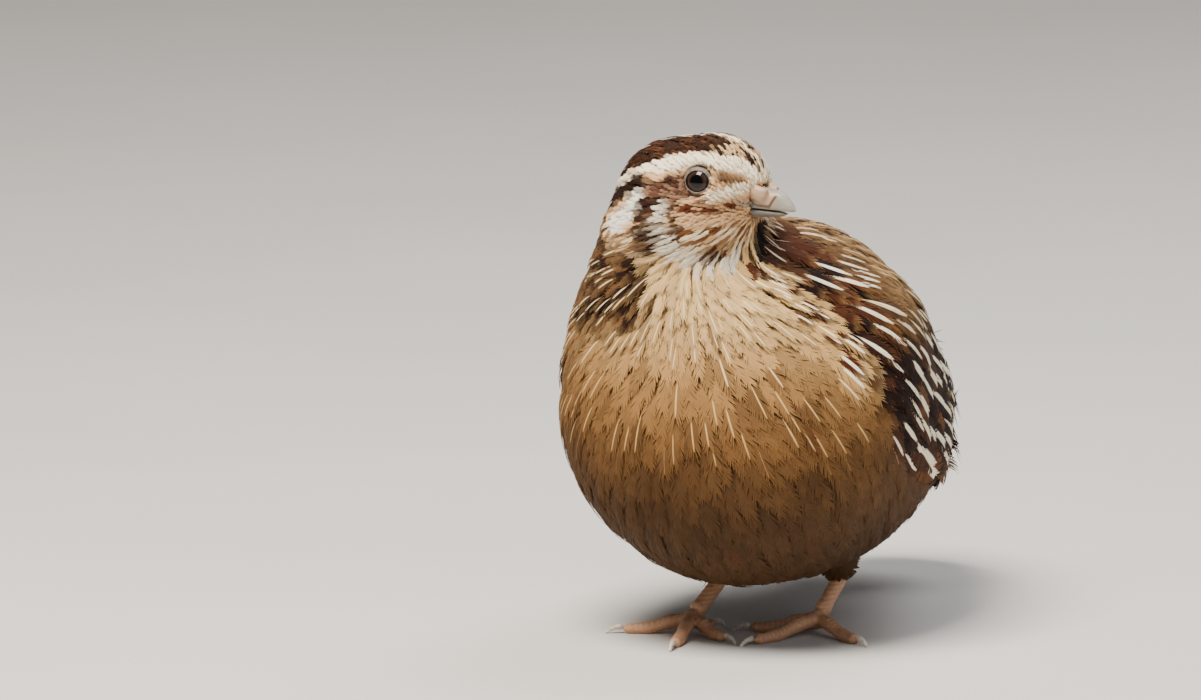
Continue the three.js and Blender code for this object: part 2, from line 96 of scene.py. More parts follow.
def add_node(tree, kind, inputs=None, **settings):
    """One node with its settings, and its inputs as numbers or as the sockets or nodes that feed them."""
    node = tree.nodes.new(kind)
    for name, value in settings.items():
        setattr(node, name, value)
    for name, value in (inputs or {}).items():
        socket = node.inputs[name]
        if isinstance(value, bpy.types.Node):
            value = value.outputs[0]
        if isinstance(value, bpy.types.NodeSocket):
            tree.links.new(value, socket)
        else:
            socket.default_value = value
    return node


def grains(size):
    """Scale of a pattern whose grains are a size in millimetres."""
    return 1 / (size * MM)


def new_material(name):
    """A material with its node tree and its shader."""
    made = bpy.data.materials.new(name)
    made.use_nodes = True
    return made, made.node_tree, made.node_tree.nodes["Principled BSDF"]


def light(name, turn, rise, distance, size, watts, colour):
    """A square soft light that faces the bird's middle; its turn and rise are in degrees."""
    turn, rise = math.radians(turn), math.radians(rise)
    way = Vector((math.sin(turn) * math.cos(rise), -math.cos(turn) * math.cos(rise), math.sin(rise)))
    bpy.ops.object.light_add(type="AREA", location=ORIGIN + Vector((0, 0, BODY_MIDDLE)) + way * distance)
    lamp = bpy.context.object
    lamp.name = name
    lamp.rotation_mode = "QUATERNION"
    lamp.rotation_quaternion = way.to_track_quat("Z", "Y")
    lamp.data.size = size
    lamp.data.energy = watts
    lamp.data.color = linear(colour)[:3]


light("key_light", -8, 62, 0.9, 0.4, 22, "#FFF7EC")
light("fill_light", 70, 30, 1.1, 0.9, 2.2, "#F2F4FF")
light("rim_light", 165, 55, 0.9, 0.5, 5, "#FFFFFF")
world = bpy.data.worlds.new("studio")
world.use_nodes = True
world.node_tree.nodes["Background"].inputs["Color"].default_value = linear("#E9ECEF")
world.node_tree.nodes["Background"].inputs["Strength"].default_value = 0.2
bpy.context.scene.world = world

bpy.ops.mesh.primitive_plane_add(size=FLOOR_SIZE, location=(0, 0, 0))
floor = bpy.context.object
floor.name = "floor"
bpy.ops.object.transform_apply(location=True, rotation=True, scale=True)
# Matt paper: no shine, and hardly any pattern.
floor_paint, tree, shader = new_material("matt paper sweep")
grain = add_node(tree, "ShaderNodeTexNoise", {"Scale": grains(PAPER_GRAIN), "Detail": 4.0})
tone = add_node(tree, "ShaderNodeValToRGB", {"Fac": grain.outputs["Fac"]})
tone.color_ramp.elements[0].color = linear("#C9C6C1")
tone.color_ramp.elements[1].color = linear("#D3D0CB")
tree.links.new(tone.outputs["Color"], shader.inputs["Base Color"])
shader.inputs["Roughness"].default_value = 0.9
floor.data.materials.append(floor_paint)


# Skin. One closed skin runs over the whole bird, under the feathers. It is made from the flesh of the
# solids, run together and smoothed, then drawn in by the depth of the coat, which is deep on the body and
# shallow on the face. Sizes and places are the bird's own millimetres, where no unit is named.
HEAD_AT = np.array([-4.0, -27.0, 100.5])
HEAD_YAW = math.radians(82)
HEAD_FORWARD = np.array([math.sin(HEAD_YAW), -math.cos(HEAD_YAW), 0])
HEAD_RIGHT = np.array([-math.cos(HEAD_YAW), -math.sin(HEAD_YAW), 0])
HEAD_FROM, HEAD_FULL = 84, 92  # heights at which the neck ends and the head is reached, at the front
HEAD_SLOPE, HEAD_FRONT = 0.24, -42  # and how they rise towards the back from there
EYE_FORWARD, EYE_ASIDE, EYE_UP = 8.2, 5.9, 3.7
EYE_RADIUS = 3.7
GAZE_FORWARD, GAZE_UP = 0.2, 0.12
SOCKET_FLOOR, SOCKET_RIM = 2.7, 3.6
FLESH = ["torso", "neck", "head", "thigh_left", "thigh_right", "wing_left", "wing_right", "eye_left",
         "eye_right"]
RUMP_AT, RUMP_SIZE, RUMP_FALL = [0, 62, 39], (12.5, 19, 8), -30
SWELL = 0.5  # the flesh is swollen to close the gaps between the solids, then smoothed
VOXEL = 0.9
BODY_COAT, BELLY_COAT = 2.3, 1.4
HEAD_COAT, FACE_COAT = 1.15, 0.4
BODY_STEPS = 10


def into_bird(points):
    """Points of the scene in the bird's own millimetres."""
    return (np.asarray(points) - np.array(ORIGIN)) / MM


def out_of_bird(points):
    """And back, in metres."""
    return np.asarray(points) * MM + np.array(ORIGIN)


def in_head(p):
    """Forward, aside (the same on both sides) and up from the middle of the head, in millimetres."""
    q = p - HEAD_AT
    return q @ HEAD_FORWARD, q @ HEAD_RIGHT, q[..., 2]


def ease(low, high, value):
    """0 below low and 1 above high, smooth between; high may be the lower of the two."""
    t = np.clip((value - low) / (high - low), 0, 1)
    return t * t * (3 - 2 * t)


def gaze_of(side):
    """The way that the right eye looks, for side 1, or the left, for side -1."""
    way = HEAD_RIGHT * side + HEAD_FORWARD * GAZE_FORWARD + [0, 0, GAZE_UP]
    return way / np.linalg.norm(way)


def only(piece):
    """Selects one piece and makes it active."""
    bpy.ops.object.select_all(action="DESELECT")
    piece.select_set(True)
    bpy.context.view_layer.objects.active = piece


def copy_of(nodes, name):
    """The named solids copied into one new piece, with their loose triangles merged."""
    copies = []
    for node in nodes:
        made = bpy.data.objects.new(name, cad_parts[node].data.copy())
        bpy.context.scene.collection.objects.link(made)
        copies.append(made)
    bpy.ops.object.select_all(action="DESELECT")
    for made in copies:
        made.select_set(True)
    bpy.context.view_layer.objects.active = copies[0]
    if len(copies) > 1:
        bpy.ops.object.join()
    piece = bpy.context.object
    piece.name = name
    piece.data.materials.clear()
    bpy.ops.object.mode_set(mode="EDIT")
    bpy.ops.mesh.select_all(action="SELECT")
    bpy.ops.mesh.remove_doubles(threshold=1e-5)
    bpy.ops.object.mode_set(mode="OBJECT")
    return piece


def modified(piece, kind, **settings):
    """Adds a modifier and applies it."""
    only(piece)
    bpy.ops.object.modifier_add(type=kind)
    modifier = piece.modifiers[-1]
    for name, value in settings.items():
        setattr(modifier, name, value)
    bpy.ops.object.modifier_apply(modifier=modifier.name)


def points_of(piece):
    """A piece's points and the directions they face."""
    count = len(piece.data.vertices)
    at, facing = np.empty(count * 3), np.empty(count * 3)
    piece.data.vertices.foreach_get("co", at)
    piece.data.vertices.foreach_get("normal", facing)
    return at.reshape(-1, 3), facing.reshape(-1, 3)


def head_share(p):
    """How far a point belongs to the head rather than the body."""
    return ease(HEAD_FROM, HEAD_FULL, p[..., 2] - HEAD_SLOPE * (p[..., 1] - HEAD_FRONT))


def coat_depth(p):
    """Depth of the coat."""
    forward, aside, up = in_head(p)
    body = BODY_COAT + (BELLY_COAT - BODY_COAT) * ease(22, 12, p[..., 2])
    head = HEAD_COAT + (FACE_COAT - HEAD_COAT) * ease(3, 12, forward + 0.3 * up)
    return body + (head - body) * head_share(p)


skin = copy_of(FLESH, "skin")
bpy.ops.mesh.primitive_uv_sphere_add(segments=32, ring_count=20, radius=MM, location=(0, 0, 0))
rump = bpy.context.object
rump.scale = RUMP_SIZE
rump.rotation_euler = (math.radians(RUMP_FALL), 0, 0)
rump.location = out_of_bird(RUMP_AT)
bpy.ops.object.transform_apply(location=True, rotation=True, scale=True)
skin.select_set(True)
bpy.context.view_layer.objects.active = skin
bpy.ops.object.join()
skin = bpy.context.object
skin.name = "skin"
modified(skin, "DISPLACE", strength=SWELL * MM, mid_level=0)
modified(skin, "REMESH", mode="VOXEL", voxel_size=VOXEL * MM)
modified(skin, "SMOOTH", factor=0.6, iterations=8)

# The body is smoothed more than the head and legs, so that the edge of the folded wing sinks into the flank.
at, _ = points_of(skin)
p = into_bird(at)
body_share = ease(18, 32, p[:, 2]) * (1 - head_share(p))
loose_part = skin.vertex_groups.new(name="body")
for step in range(1, BODY_STEPS + 1):
    chosen = np.nonzero(np.ceil(body_share * BODY_STEPS) == step)[0]
    loose_part.add(chosen.tolist(), step / BODY_STEPS, "REPLACE")
modified(skin, "SMOOTH", factor=0.6, iterations=60, vertex_group="body")

# The coat's depth comes off, and each eye gets its socket.
at, facing = points_of(skin)
p = into_bird(at)
p -= facing * coat_depth(p)[:, None]
for side in (1, -1):
    centre = HEAD_AT + HEAD_FORWARD * EYE_FORWARD + HEAD_RIGHT * side * EYE_ASIDE + [0, 0, EYE_UP]
    from_eye = p - centre
    gaze = gaze_of(side)
    ahead = from_eye @ gaze
    off = np.linalg.norm(from_eye - ahead[:, None] * gaze, axis=1)
    within = (ahead > 0) & (off < SOCKET_RIM)
    p[within] -= gaze * ahead[within, None] * (1 - ease(SOCKET_FLOOR, SOCKET_RIM, off[within]))[:, None]
skin.data.vertices.foreach_set("co", out_of_bird(p).ravel())
skin.data.update()
only(skin)
bpy.ops.object.shade_smooth()
bpy.ops.object.mode_set(mode="EDIT")
bpy.ops.mesh.select_all(action="SELECT")
bpy.ops.uv.smart_project(angle_limit=math.radians(66), island_margin=0.004)
bpy.ops.object.mode_set(mode="OBJECT")
skin.data.uv_layers[0].name = "OFBake"
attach(skin, "root")
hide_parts("torso", "neck", "head", "thigh_left", "thigh_right")


# Markings. The plumage of the male: a dark cap, a cream brow, a rufous face patch and gape stripe, a white
# edge to the bib, a buff breast with cream shaft streaks, and dark brown sides and wings boldly streaked.
# The belly's brown is deepened by painted shade.
WHITE, BUFF, GOLD, BELLY_AND_SHADE = "#FBF3E2", "#AD8350", "#664524", "#3F2C1B"
DARK, BROWN, EARTH = "#1A0C08", "#3E2214", "#3E2815"
CAP, MAUVE, LORE = "#281409", "#8A6750", "#4A2C18"
BROW_CREAM, BIB_BROWN = "#FFEFD2", "#46281A"

# Heights between which the breast's colours change, from the throat down.
PALE_ZONE, GOLD_ZONE, BELLY_ZONE = (60, 80), (76, 44), (56, 24)
SHADE_RANGE = 0.14  # how much single feathers differ in brightness
DOWN_GRAIN = 1.11

# Lines of the markings on the side of the head, in millimetres ahead of the eye and above it.
CAP_EDGE = [(-23.8, -4.3), (-21.7, -0.4), (-19.2, 1.8), (-15.4, 3.5), (-11.6, 4.6), (-8.3, 5.5), (-4.7, 6.2),
            (-0.2, 6.3), (3.4, 5.7), (7.0, 5.3), (10.0, 5.2), (13.0, 3.6), (15.6, 1.3)]
BROW = [(-10.0, 3.5), (-7.0, 4.0), (-2.7, 4.6), (3.7, 4.3), (8.7, 3.4), (13.0, 2.2), (16.6, 1.1)]
BROW_REAR = [(-23.0, -3.4), (-21.4, -1.4), (-18.4, 1.0), (-14.1, 2.6), (-10.0, 3.5)]
LORE_PATCH = [(5.0, 0.9), (7.6, 0.0), (9.4, -0.2)]
UNDER_EYE = [(13.0, -1.1), (8.7, -2.2), (4.9, -2.8), (1.5, -3.6)]
GAPE = [(8.7, -5.3), (5.0, -6.1), (0.0, -6.3), (-5.0, -6.0)]
EAR = [(-4.2, -1.1), (-7.3, -2.0), (-10.8, -2.4), (-14.1, -2.8), (-11.6, -4.8), (-8.3, -4.4)]
EAR_SPOT = [(-6.2, 0.7), (-8.3, 0.0)]
NECK_PATCH = [(-16.6, -3.1), (-17.4, -5.0), (-19.0, -7.0), (-21.7, -9.2)]
BROW_END = [(-23.8, -4.6), (-21.5, -2.6), (-18.4, -1.0), (-15.1, 0.2)]
DARK_BAND = [(-13.8, -5.6), (-14.4, -9.5), (-13.4, -13.5)]
BIB_EDGE = [(-10.6, -5.6), (-11.0, -8.6), (-10.3, -11.6), (-8.2, -15.0), (-4.0, -17.4), (1.0, -18.6),
            (6.0, -19.0), (9.0, -17.8)]
BIB_LINE = [(-8.2, -6.2), (-7.4, -9.4), (-6.0, -12.4)]
BIB_SPOTS = [(-0.7, -16.2), (2.9, -16.6), (5.9, -16.6)]
MOUTH_CORNER = [(9.0, -4.9), (12.0, -5.1), (15.0, -5.3)]
EYE_UNDERLINE = [(-3.4, -2.6), (-1.0, -3.9), (2.0, -3.9)]
EYE_TOP = [(-3.6, 1.8), (-1.5, 3.5), (1.5, 3.5), (3.2, 2.2)]


def profile(p):
    """Where a point shows on the side of the head: ahead of the eye and above it."""
    forward, aside, up = in_head(p)
    outward = np.abs(aside) - EYE_ASIDE
    ahead = forward - EYE_FORWARD
    return ahead - 0.627 * outward, up - EYE_UP - 0.15 * outward - 0.094 * ahead


def band(place, line, half, soft=0.5):
    """1 on a band of a half width along a line, and 0 away from it."""
    line = np.array(line, float)
    best = np.full(place.shape[0], 1e9)
    for start, end in zip(line[:-1], line[1:]):
        run = end - start
        t = np.clip((place - start) @ run / (run @ run), 0, 1)
        best = np.minimum(best, np.linalg.norm(place - start - t[:, None] * run, axis=1))
    return 1 - ease(half - soft, half + soft, best)


def rgb(colour):
    return np.array(linear(colour)[:3])


def paint(colours, mask, colour):
    """Lays a colour over what is there, where the mask is 1."""
    colours += (rgb(colour) - colours) * np.asarray(mask)[:, None]


def ripple(p, size, seed):
    """Soft, fixed mottling from -1 to 1 with patches about size millimetres across."""
    rng = np.random.default_rng(seed)
    total = np.zeros(p.shape[0])
    for _ in range(7):
        way = rng.normal(size=3)
        way *= 2 * math.pi / (2.2 * size * np.linalg.norm(way)) * rng.uniform(0.7, 1.4)
        total += np.sin(p @ way + rng.uniform(0, 6.3))
    return total / 3.2


# Where the buff breast ends and the dark side begins: distance along the bird at each height.
SIDE_HEIGHT = [22, 27, 30, 35, 42, 56, 69, 76, 85, 92]
SIDE_START = [75, 52, 34, 6, -7, -15, -17, -20, -24, -26]
RIGHT_LEAD = 4


def dark_side(p):
    """1 on the dark shoulders, wings and back, and 0 on the breast and belly."""
    start = np.interp(p[:, 2], SIDE_HEIGHT, SIDE_START) - RIGHT_LEAD * ease(-4, -20, p[:, 0])
    ragged = 1.6 * ripple(p, 4, 11)
    return ease(-1.5, 1.5, p[:, 1] - start + ragged)


def flat(layers, mask, colour):
    """Paints whole feathers, so that neither their streak nor their edge shows."""
    for layer in layers:
        paint(layer, mask, colour)


def on_mantle(p):
    """1 on the middle of the back, and 0 on the shoulders and lower down."""
    return ease(-12, 6, p[:, 1]) * ease(62, 78, p[:, 2])


def mark_breast(p, luck, layers, width):
    """Pale under the throat, golden in the middle, and brown on the belly and towards the right flank. The
    brown below and towards the right flank is partly the bird's own colour and partly painted shade.
    """
    ground, streak, edge = layers
    x, y, z = p.T
    pale, golden, brown = ease(*PALE_ZONE, z), ease(*GOLD_ZONE, z), ease(*BELLY_ZONE, z)
    paint(ground, pale * 0.9, "#D8B57C")
    paint(ground, golden * 0.9, GOLD)
    # Painted shade: the ground darkens towards the right flank, the side that lies in shade.
    paint(ground, ease(-16, -30, x) * 0.5, GOLD)
    # Painted shade, partly the belly's own brown: the ground darkens towards the bottom.
    paint(ground, brown * 0.9, BELLY_AND_SHADE)
    paint(ground, ease(-0.1, 1, ripple(p, 4, 3)) * 0.55 * ease(80, 56, z), EARTH)
    paint(ground, (luck > 0.95) * ease(86, 70, z) * ease(0, 8, x) * 0.6, "#54331C")
    paint(edge, pale * 0.9, "#E6C794")
    paint(edge, golden, "#805526")
    # Painted shade, partly their own colour: the edges and, lower down, the streaks darken towards the belly.
    paint(edge, brown, "#4C341F")
    paint(streak, ease(72, 56, z), "#D2AC70")
    paint(streak, ease(54, 32, z), "#6E5232")
    width -= 0.2 * ease(50, 38, z)
    # Along the dark side runs a pale margin of broad cream streaks.
    start = np.interp(z, SIDE_HEIGHT, SIDE_START)
    margin = ease(-11, -6, y - start) * ease(56, 64, z) * ease(0, 8, x)
    paint(ground, margin * 0.7, "#C99F62")
    paint(ground, margin * (luck < 0.16), "#4A2412")
    paint(edge, margin * 0.7, "#EFD9AC")
    paint(streak, margin, "#FAEED2")
    width += margin * (0.2 - width)


def mark_side(p, luck, layers, width, rim, bars):
    """The back is buff and brown, finely barred and streaked. The sides and wings are nearly black with bold
    streaks, redder on the shoulders, and the rump has no streaks."""
    ground, streak, edge = layers
    x, y, z = p.T
    side, mantle = dark_side(p), on_mantle(p)
    wing = side * (1 - mantle)
    shoulder = wing * ease(64, 72, z)
    mantle = side * mantle
    paint(ground, side, BROWN)
    paint(ground, wing * (luck < 0.7), DARK)
    paint(ground, wing * (luck > 0.93), "#5C3A20")
    paint(ground, shoulder, "#43210F")
    paint(ground, shoulder * (luck < 0.45), DARK)
    paint(ground, mantle, "#8A6A44")
    paint(ground, mantle * (luck < 0.3), "#2C180D")
    paint(streak, side, "#F2E7CE")
    paint(streak, mantle, "#C6A878")
    paint(edge, side, "#4A2816")
    paint(edge, mantle, "#A98B60")
    paint(edge, shoulder, "#A87C4A")
    width += side * (0.22 - 0.12 * on_mantle(p) - width)
    width += shoulder * (0.22 - width)
    width -= 0.4 * ease(50, 58, y)
    rim += side * (0.35 - rim)
    bars += side * (0.45 * on_mantle(p) + 0.08 - bars)


def mark_neck(p, luck, layers, width):
    """The neck's right side: golden brown with pale edges, and dark streaks where it meets the shoulder."""
    ground, streak, edge = layers
    x, y, z = p.T
    collar = ease(66, 74, z) * (1 - head_share(p))
    lateral = ease(9, 17, np.where(x < 0, 4 - x, 0)) * (1 - on_mantle(p)) * collar
    paint(ground, lateral, "#62452A")
    paint(ground, lateral * (luck < 0.42), "#24120A")
    paint(streak, lateral, "#E6D2A6")
    paint(edge, lateral, "#957348")
    width += lateral * (0.16 - width)


def mark_head(p, luck, layers, rim):
    """The cap, the brow, the side of the face, the bib and the throat's stripe, laid over each other."""
    ground, streak, edge = layers
    head = head_share(p)
    place = np.stack(profile(p), axis=1)
    forward, aside, up = in_head(p)
    flat(layers, head, "#D8AE80")
    lower = head * ease(-4, -7, up)
    flat(layers, lower * (luck < 0.34), "#6E4526")
    flat(layers, lower * (luck > 0.62), "#F0D9B4")
    # A dark cap, buff at the front, with a pale line along its middle, and a brown nape behind it.
    above = place[:, 1] - np.interp(place[:, 0], *np.array(CAP_EDGE).T)
    cap = head * ease(-0.3, 0.3, above) * ease(-30, -20, place[:, 0])
    flat(layers, cap, CAP)
    paint(ground, cap * (luck > 0.72), "#4E2E1A")
    paint(edge, cap * 0.7, "#6A4628")
    rim += cap * (0.35 - rim)
    flat(layers, cap * ease(9.5, 12.5, forward) * (luck > 0.45), "#C9A77C")
    nape = ease(-15, -21, forward) * ease(82, 90, p[:, 2])
    flat(layers, nape, "#6E4A24")
    flat(layers, nape * (luck < 0.4), "#2A160B")
    flat(layers, head * (1 - cap) * band(place, BROW, 1.7, 0.35), BROW_CREAM)
    flat(layers, head * (1 - cap) * band(place, BROW_REAR, 1.1, 0.35), BROW_CREAM)
    flat(layers, cap * (1 - ease(0.4, 0.9, np.abs(aside))) * (luck > 0.15), BROW_CREAM)
    # The side of the face, from over the eye down to the gape stripe and the mouth's corner.
    flat(layers, head * band(place, EYE_TOP, 0.35, 0.3), "#5E3F28")
    flat(layers, band(place, EAR, 2.5, 0.7), MAUVE)
    flat(layers, band(place, EAR, 2.5, 0.7) * (luck < 0.3), "#583A2A")
    flat(layers, band(place, EAR_SPOT, 1.1, 0.5), "#3C241A")
    flat(layers, band(place, EYE_UNDERLINE, 0.6, 0.4) * (luck < 0.6), "#6A4630")
    flat(layers, band(place, LORE_PATCH, 1.4, 1.1) * 0.85, LORE)
    flat(layers, band(place, UNDER_EYE, 1.2, 0.4), "#F4E4C6")
    flat(layers, band(place, GAPE, 0.95, 0.5) * (0.4 + 0.6 * (luck < 0.75)), "#5A2A16")
    flat(layers, head * band(place, MOUTH_CORNER, 0.45, 0.25), "#8E857A")
    # Behind and below the cheek: the white neck patch, dark bands, and the bib's pale edge and its spots.
    near = ease(15, 11, np.abs(aside)) * np.where(aside > 0, 1, head)
    flat(layers, near * band(place, NECK_PATCH, 1.9, 0.5), WHITE)
    flat(layers, near * band(place, BROW_END, 1.6, 0.5), "#241208")
    flat(layers, near * band(place, DARK_BAND, 2.5, 0.6), "#2C150C")
    flat(layers, near * band(place, BIB_EDGE, 1.9, 0.5), "#E4D8C2")
    flat(layers, near * band(place, BIB_LINE, 0.7, 0.4), BIB_BROWN)
    flat(layers, near * band(place, BIB_SPOTS, 0.7, 0.4), BIB_BROWN)
    # The black stripe down the middle of the throat.
    across = forward - 0.63 * aside
    throat = ease(18.0, 18.8, across) * ease(21.6, 20.8, across) * ease(1, 0, aside) * ease(-4.5, -6, up)
    flat(layers, throat * ease(-17, -15.5, up), "#140D09")


def markings(p, rng):
    """For each feather: its ground colour, streak colour and edge colour, and how wide its streak is, how
    far its edge colour shows and how dark its bars are. Luck picks out the feathers of an odd colour."""
    n = p.shape[0]
    luck = rng.random(n)
    layers = [np.tile(rgb(colour), (n, 1)) for colour in (BUFF, "#F2DFB6", "#C0935A")]
    width, rim, bars = np.full(n, 0.075), np.full(n, 0.25), np.full(n, 0.04)
    mark_breast(p, luck, layers, width)
    mark_side(p, luck, layers, width, rim, bars)
    mark_neck(p, luck, layers, width)
    mark_head(p, luck, layers, rim)
    head = head_share(p)
    width += head * (0.3 - width)
    bars *= 1 - head
    ground, streak, edge = layers
    vary = 1 + SHADE_RANGE * (2 * rng.random((n, 1)) - 1)
    return np.clip(ground * vary, 0, 1), streak, edge, np.stack([width, rim, bars], axis=1)


def colour_points(piece, name, colours):
    """Stores a colour at each point of a piece."""
    full = np.ones((len(colours), 4), np.float32)
    full[:, :3] = colours
    layer = piece.data.color_attributes.new(name, "FLOAT_COLOR", "POINT")
    layer.data.foreach_set("color", full.ravel())


# Skin under down: dull, and a little darker than the feathers as painted shade, as in the shade between them.
skin_at, skin_facing = points_of(skin)
skin_colour = markings(into_bird(skin_at), np.random.default_rng(1))[0]
colour_points(skin, "ground", skin_colour * 0.8)
skin_paint, tree, shader = new_material("skin and down")
ground = add_node(tree, "ShaderNodeAttribute", attribute_name="ground")
where = add_node(tree, "ShaderNodeTexCoord")
noise = {"Vector": where.outputs["Object"], "Scale": grains(DOWN_GRAIN), "Detail": 6.0}
down = add_node(tree, "ShaderNodeTexNoise", noise)
tone = add_node(tree, "ShaderNodeMapRange", {"Value": down.outputs["Fac"], "To Min": 0.7, "To Max": 1.15})
toned = {0: ground.outputs["Color"], "Scale": tone.outputs[0]}
mixed = add_node(tree, "ShaderNodeVectorMath", toned, operation="SCALE")
tree.links.new(mixed.outputs[0], shader.inputs["Base Color"])
bump = add_node(tree, "ShaderNodeBump", {"Height": down.outputs["Fac"], "Distance": 0.0004, "Strength": 0.6})
tree.links.new(bump.outputs["Normal"], shader.inputs["Normal"])
shader.inputs["Roughness"].default_value = 0.85
shader.inputs["Specular IOR Level"].default_value = 0.2
skin.data.materials.append(skin_paint)


# Body feathers. Each is a shaft with barbs to both sides, loose at the edge. They grow from the skin, lie
# along it from the bill back to the tail, and overlap like shingles; the tips reach the solids' surface.
STATIONS = 7  # places along a feather
BILL_ROOT = HEAD_AT + HEAD_FORWARD * 15 + [0, 0, -1]
THROAT = np.array([-1.0, -35.0, 90.0])
TIP_ROUND = 0.96  # where a feather's outline closes, before its barbs' sweep
BARB_FROM, BARB_RUN = 0.07, 0.86  # the stretch of the shaft that carries barbs
BARB_OVERLAP = 0.62  # half width of a barb, as a share of the room that it has
BOLD_RISE, BOLD_LONGER = 0.35, 1.3  # streaked feathers lie over the rest, and show more of their length
HOME_PATCH = 0.003
SHADE_PATCH = 3.85
BARS, BAR_BROWN = 3.5, "#2E1B12"
skin_tree = BVHTree.FromObject(skin, bpy.context.evaluated_depsgraph_get())


def lie(p):
    """The way that the coat lies at points: away from the bill on the head, and from the throat below it."""
    from_bill = p - BILL_ROOT
    from_bill /= np.linalg.norm(from_bill, axis=-1, keepdims=True)
    from_throat = p - THROAT
    from_throat /= np.linalg.norm(from_throat, axis=-1, keepdims=True)
    share = ease(82, 90, p[..., 2])[..., None]
    way = from_throat + (from_bill - from_throat) * share
    # On the wings and shoulders the feathers turn back towards the tail.
    start = np.interp(p[..., 2], SIDE_HEIGHT, SIDE_START)
    side = (ease(-4, 6, p[..., 1] - start) * ease(24, 32, p[..., 2]) * ease(86, 78, p[..., 2]))[..., None]
    fall = np.radians(42 - 16 * ease(-16, 25, p[..., 1]))
    back = np.stack([0.08 * np.sign(p[..., 0]), np.cos(fall), -np.sin(fall)], axis=-1)
    way = way + (back - way) * side
    return way / np.linalg.norm(way, axis=-1, keepdims=True)


def outline(t, end):
    """Half width of a feather at a share of its length: it closes in a round end."""
    close = np.sqrt(np.clip(1 - (max(t - 0.5, 0) / (end - 0.5)) ** 2, 0, 1))
    return (0.4 + 0.6 * ease(0, 0.45, t)) * close


def feather_plan(barbs, rng, loose=0.25, sweep=0.28, firm=False):
    """One feather laid flat: for each corner its place along the shaft, across it and over it, and then the
    triangles. Sweep is how far forwards the barbs run, as a share of the length. A firm vane's barbs hold
    together to their ends, and a soft one's are pointed."""
    corners, faces = [], []
    half = BARB_OVERLAP * BARB_RUN / barbs
    shaft = np.linspace(0.0, 0.97, 5)
    for start, end in zip(shaft[:-1], shaft[1:]):
        k = len(corners)
        corners += [(start, -0.035, 0.03), (start, 0.035, 0.03), (end, 0.02, 0.03), (end, -0.02, 0.03)]
        faces += [(k, k + 1, k + 2), (k, k + 2, k + 3)]
    for i in range(barbs):
        root = BARB_FROM + BARB_RUN * (i + 0.5) / barbs
        for side in (-1, 1):
            end = root + sweep + rng.normal(0, 0.003 if firm else 0.012)
            reach = side * outline(end, TIP_ROUND + sweep) * (1 + loose * rng.uniform(-0.5, 0.4))
            middle = root + (end - root) * 0.7
            k = len(corners)
            sag = -0.10 * rng.uniform(0.5, 1.5)
            outer = half * 0.9
            corners += [(root - half, 0, 0), (root + half, 0, 0), (middle + outer, reach * 0.78, sag * 0.5),
                        (middle - outer, reach * 0.78, sag * 0.5), (end + outer * firm, reach, sag)]
            turned = [(k, k + 1, k + 2), (k, k + 2, k + 3), (k + 3, k + 2, k + 4)]
            if firm:
                corners.append((end - outer, reach, sag))
                turned.append((k + 3, k + 4, k + 5))
            faces += turned if side < 0 else [face[::-1] for face in turned]
    return np.array(corners), np.array(faces)


def grow(roots, facing, ways, lengths, rises, keep=0.6, stiff=0.0, bend=0.5):
    """Stations of many feathers that walk over the skin, each rising from its root to its tip, in metres.
    A stiff one doesn't follow the skin where it curves away, and stands off it by that share. Bend is how
    soon a feather turns to face as the skin below it does."""
    count = len(roots)
    line = np.empty((count, STATIONS, 3))
    over = np.empty((count, STATIONS, 3))
    for i in range(count):
        spot, out, way = Vector(roots[i]), Vector(facing[i]), Vector(ways[i])
        step = lengths[i] / (STATIONS - 1)
        tip = spot + out * rises[i, 0]
        for k in range(STATIONS):
            if k:
                reached = tip + way * step
                spot, found, _, _ = skin_tree.find_nearest(reached)
                out = (out * (1 - bend) + found * bend).normalized()
                height = (reached - spot).dot(found)
                tip = spot + found * max(rises[i, k], rises[i, k] + stiff * (height - rises[i, k]))
            here = Vector(lie(into_bird(spot)))
            way = way * keep + here * (1 - keep)
            way = (way - out * way.dot(out) * (1 - stiff)).normalized()
            line[i, k] = tip
            over[i, k] = out
    return line, over


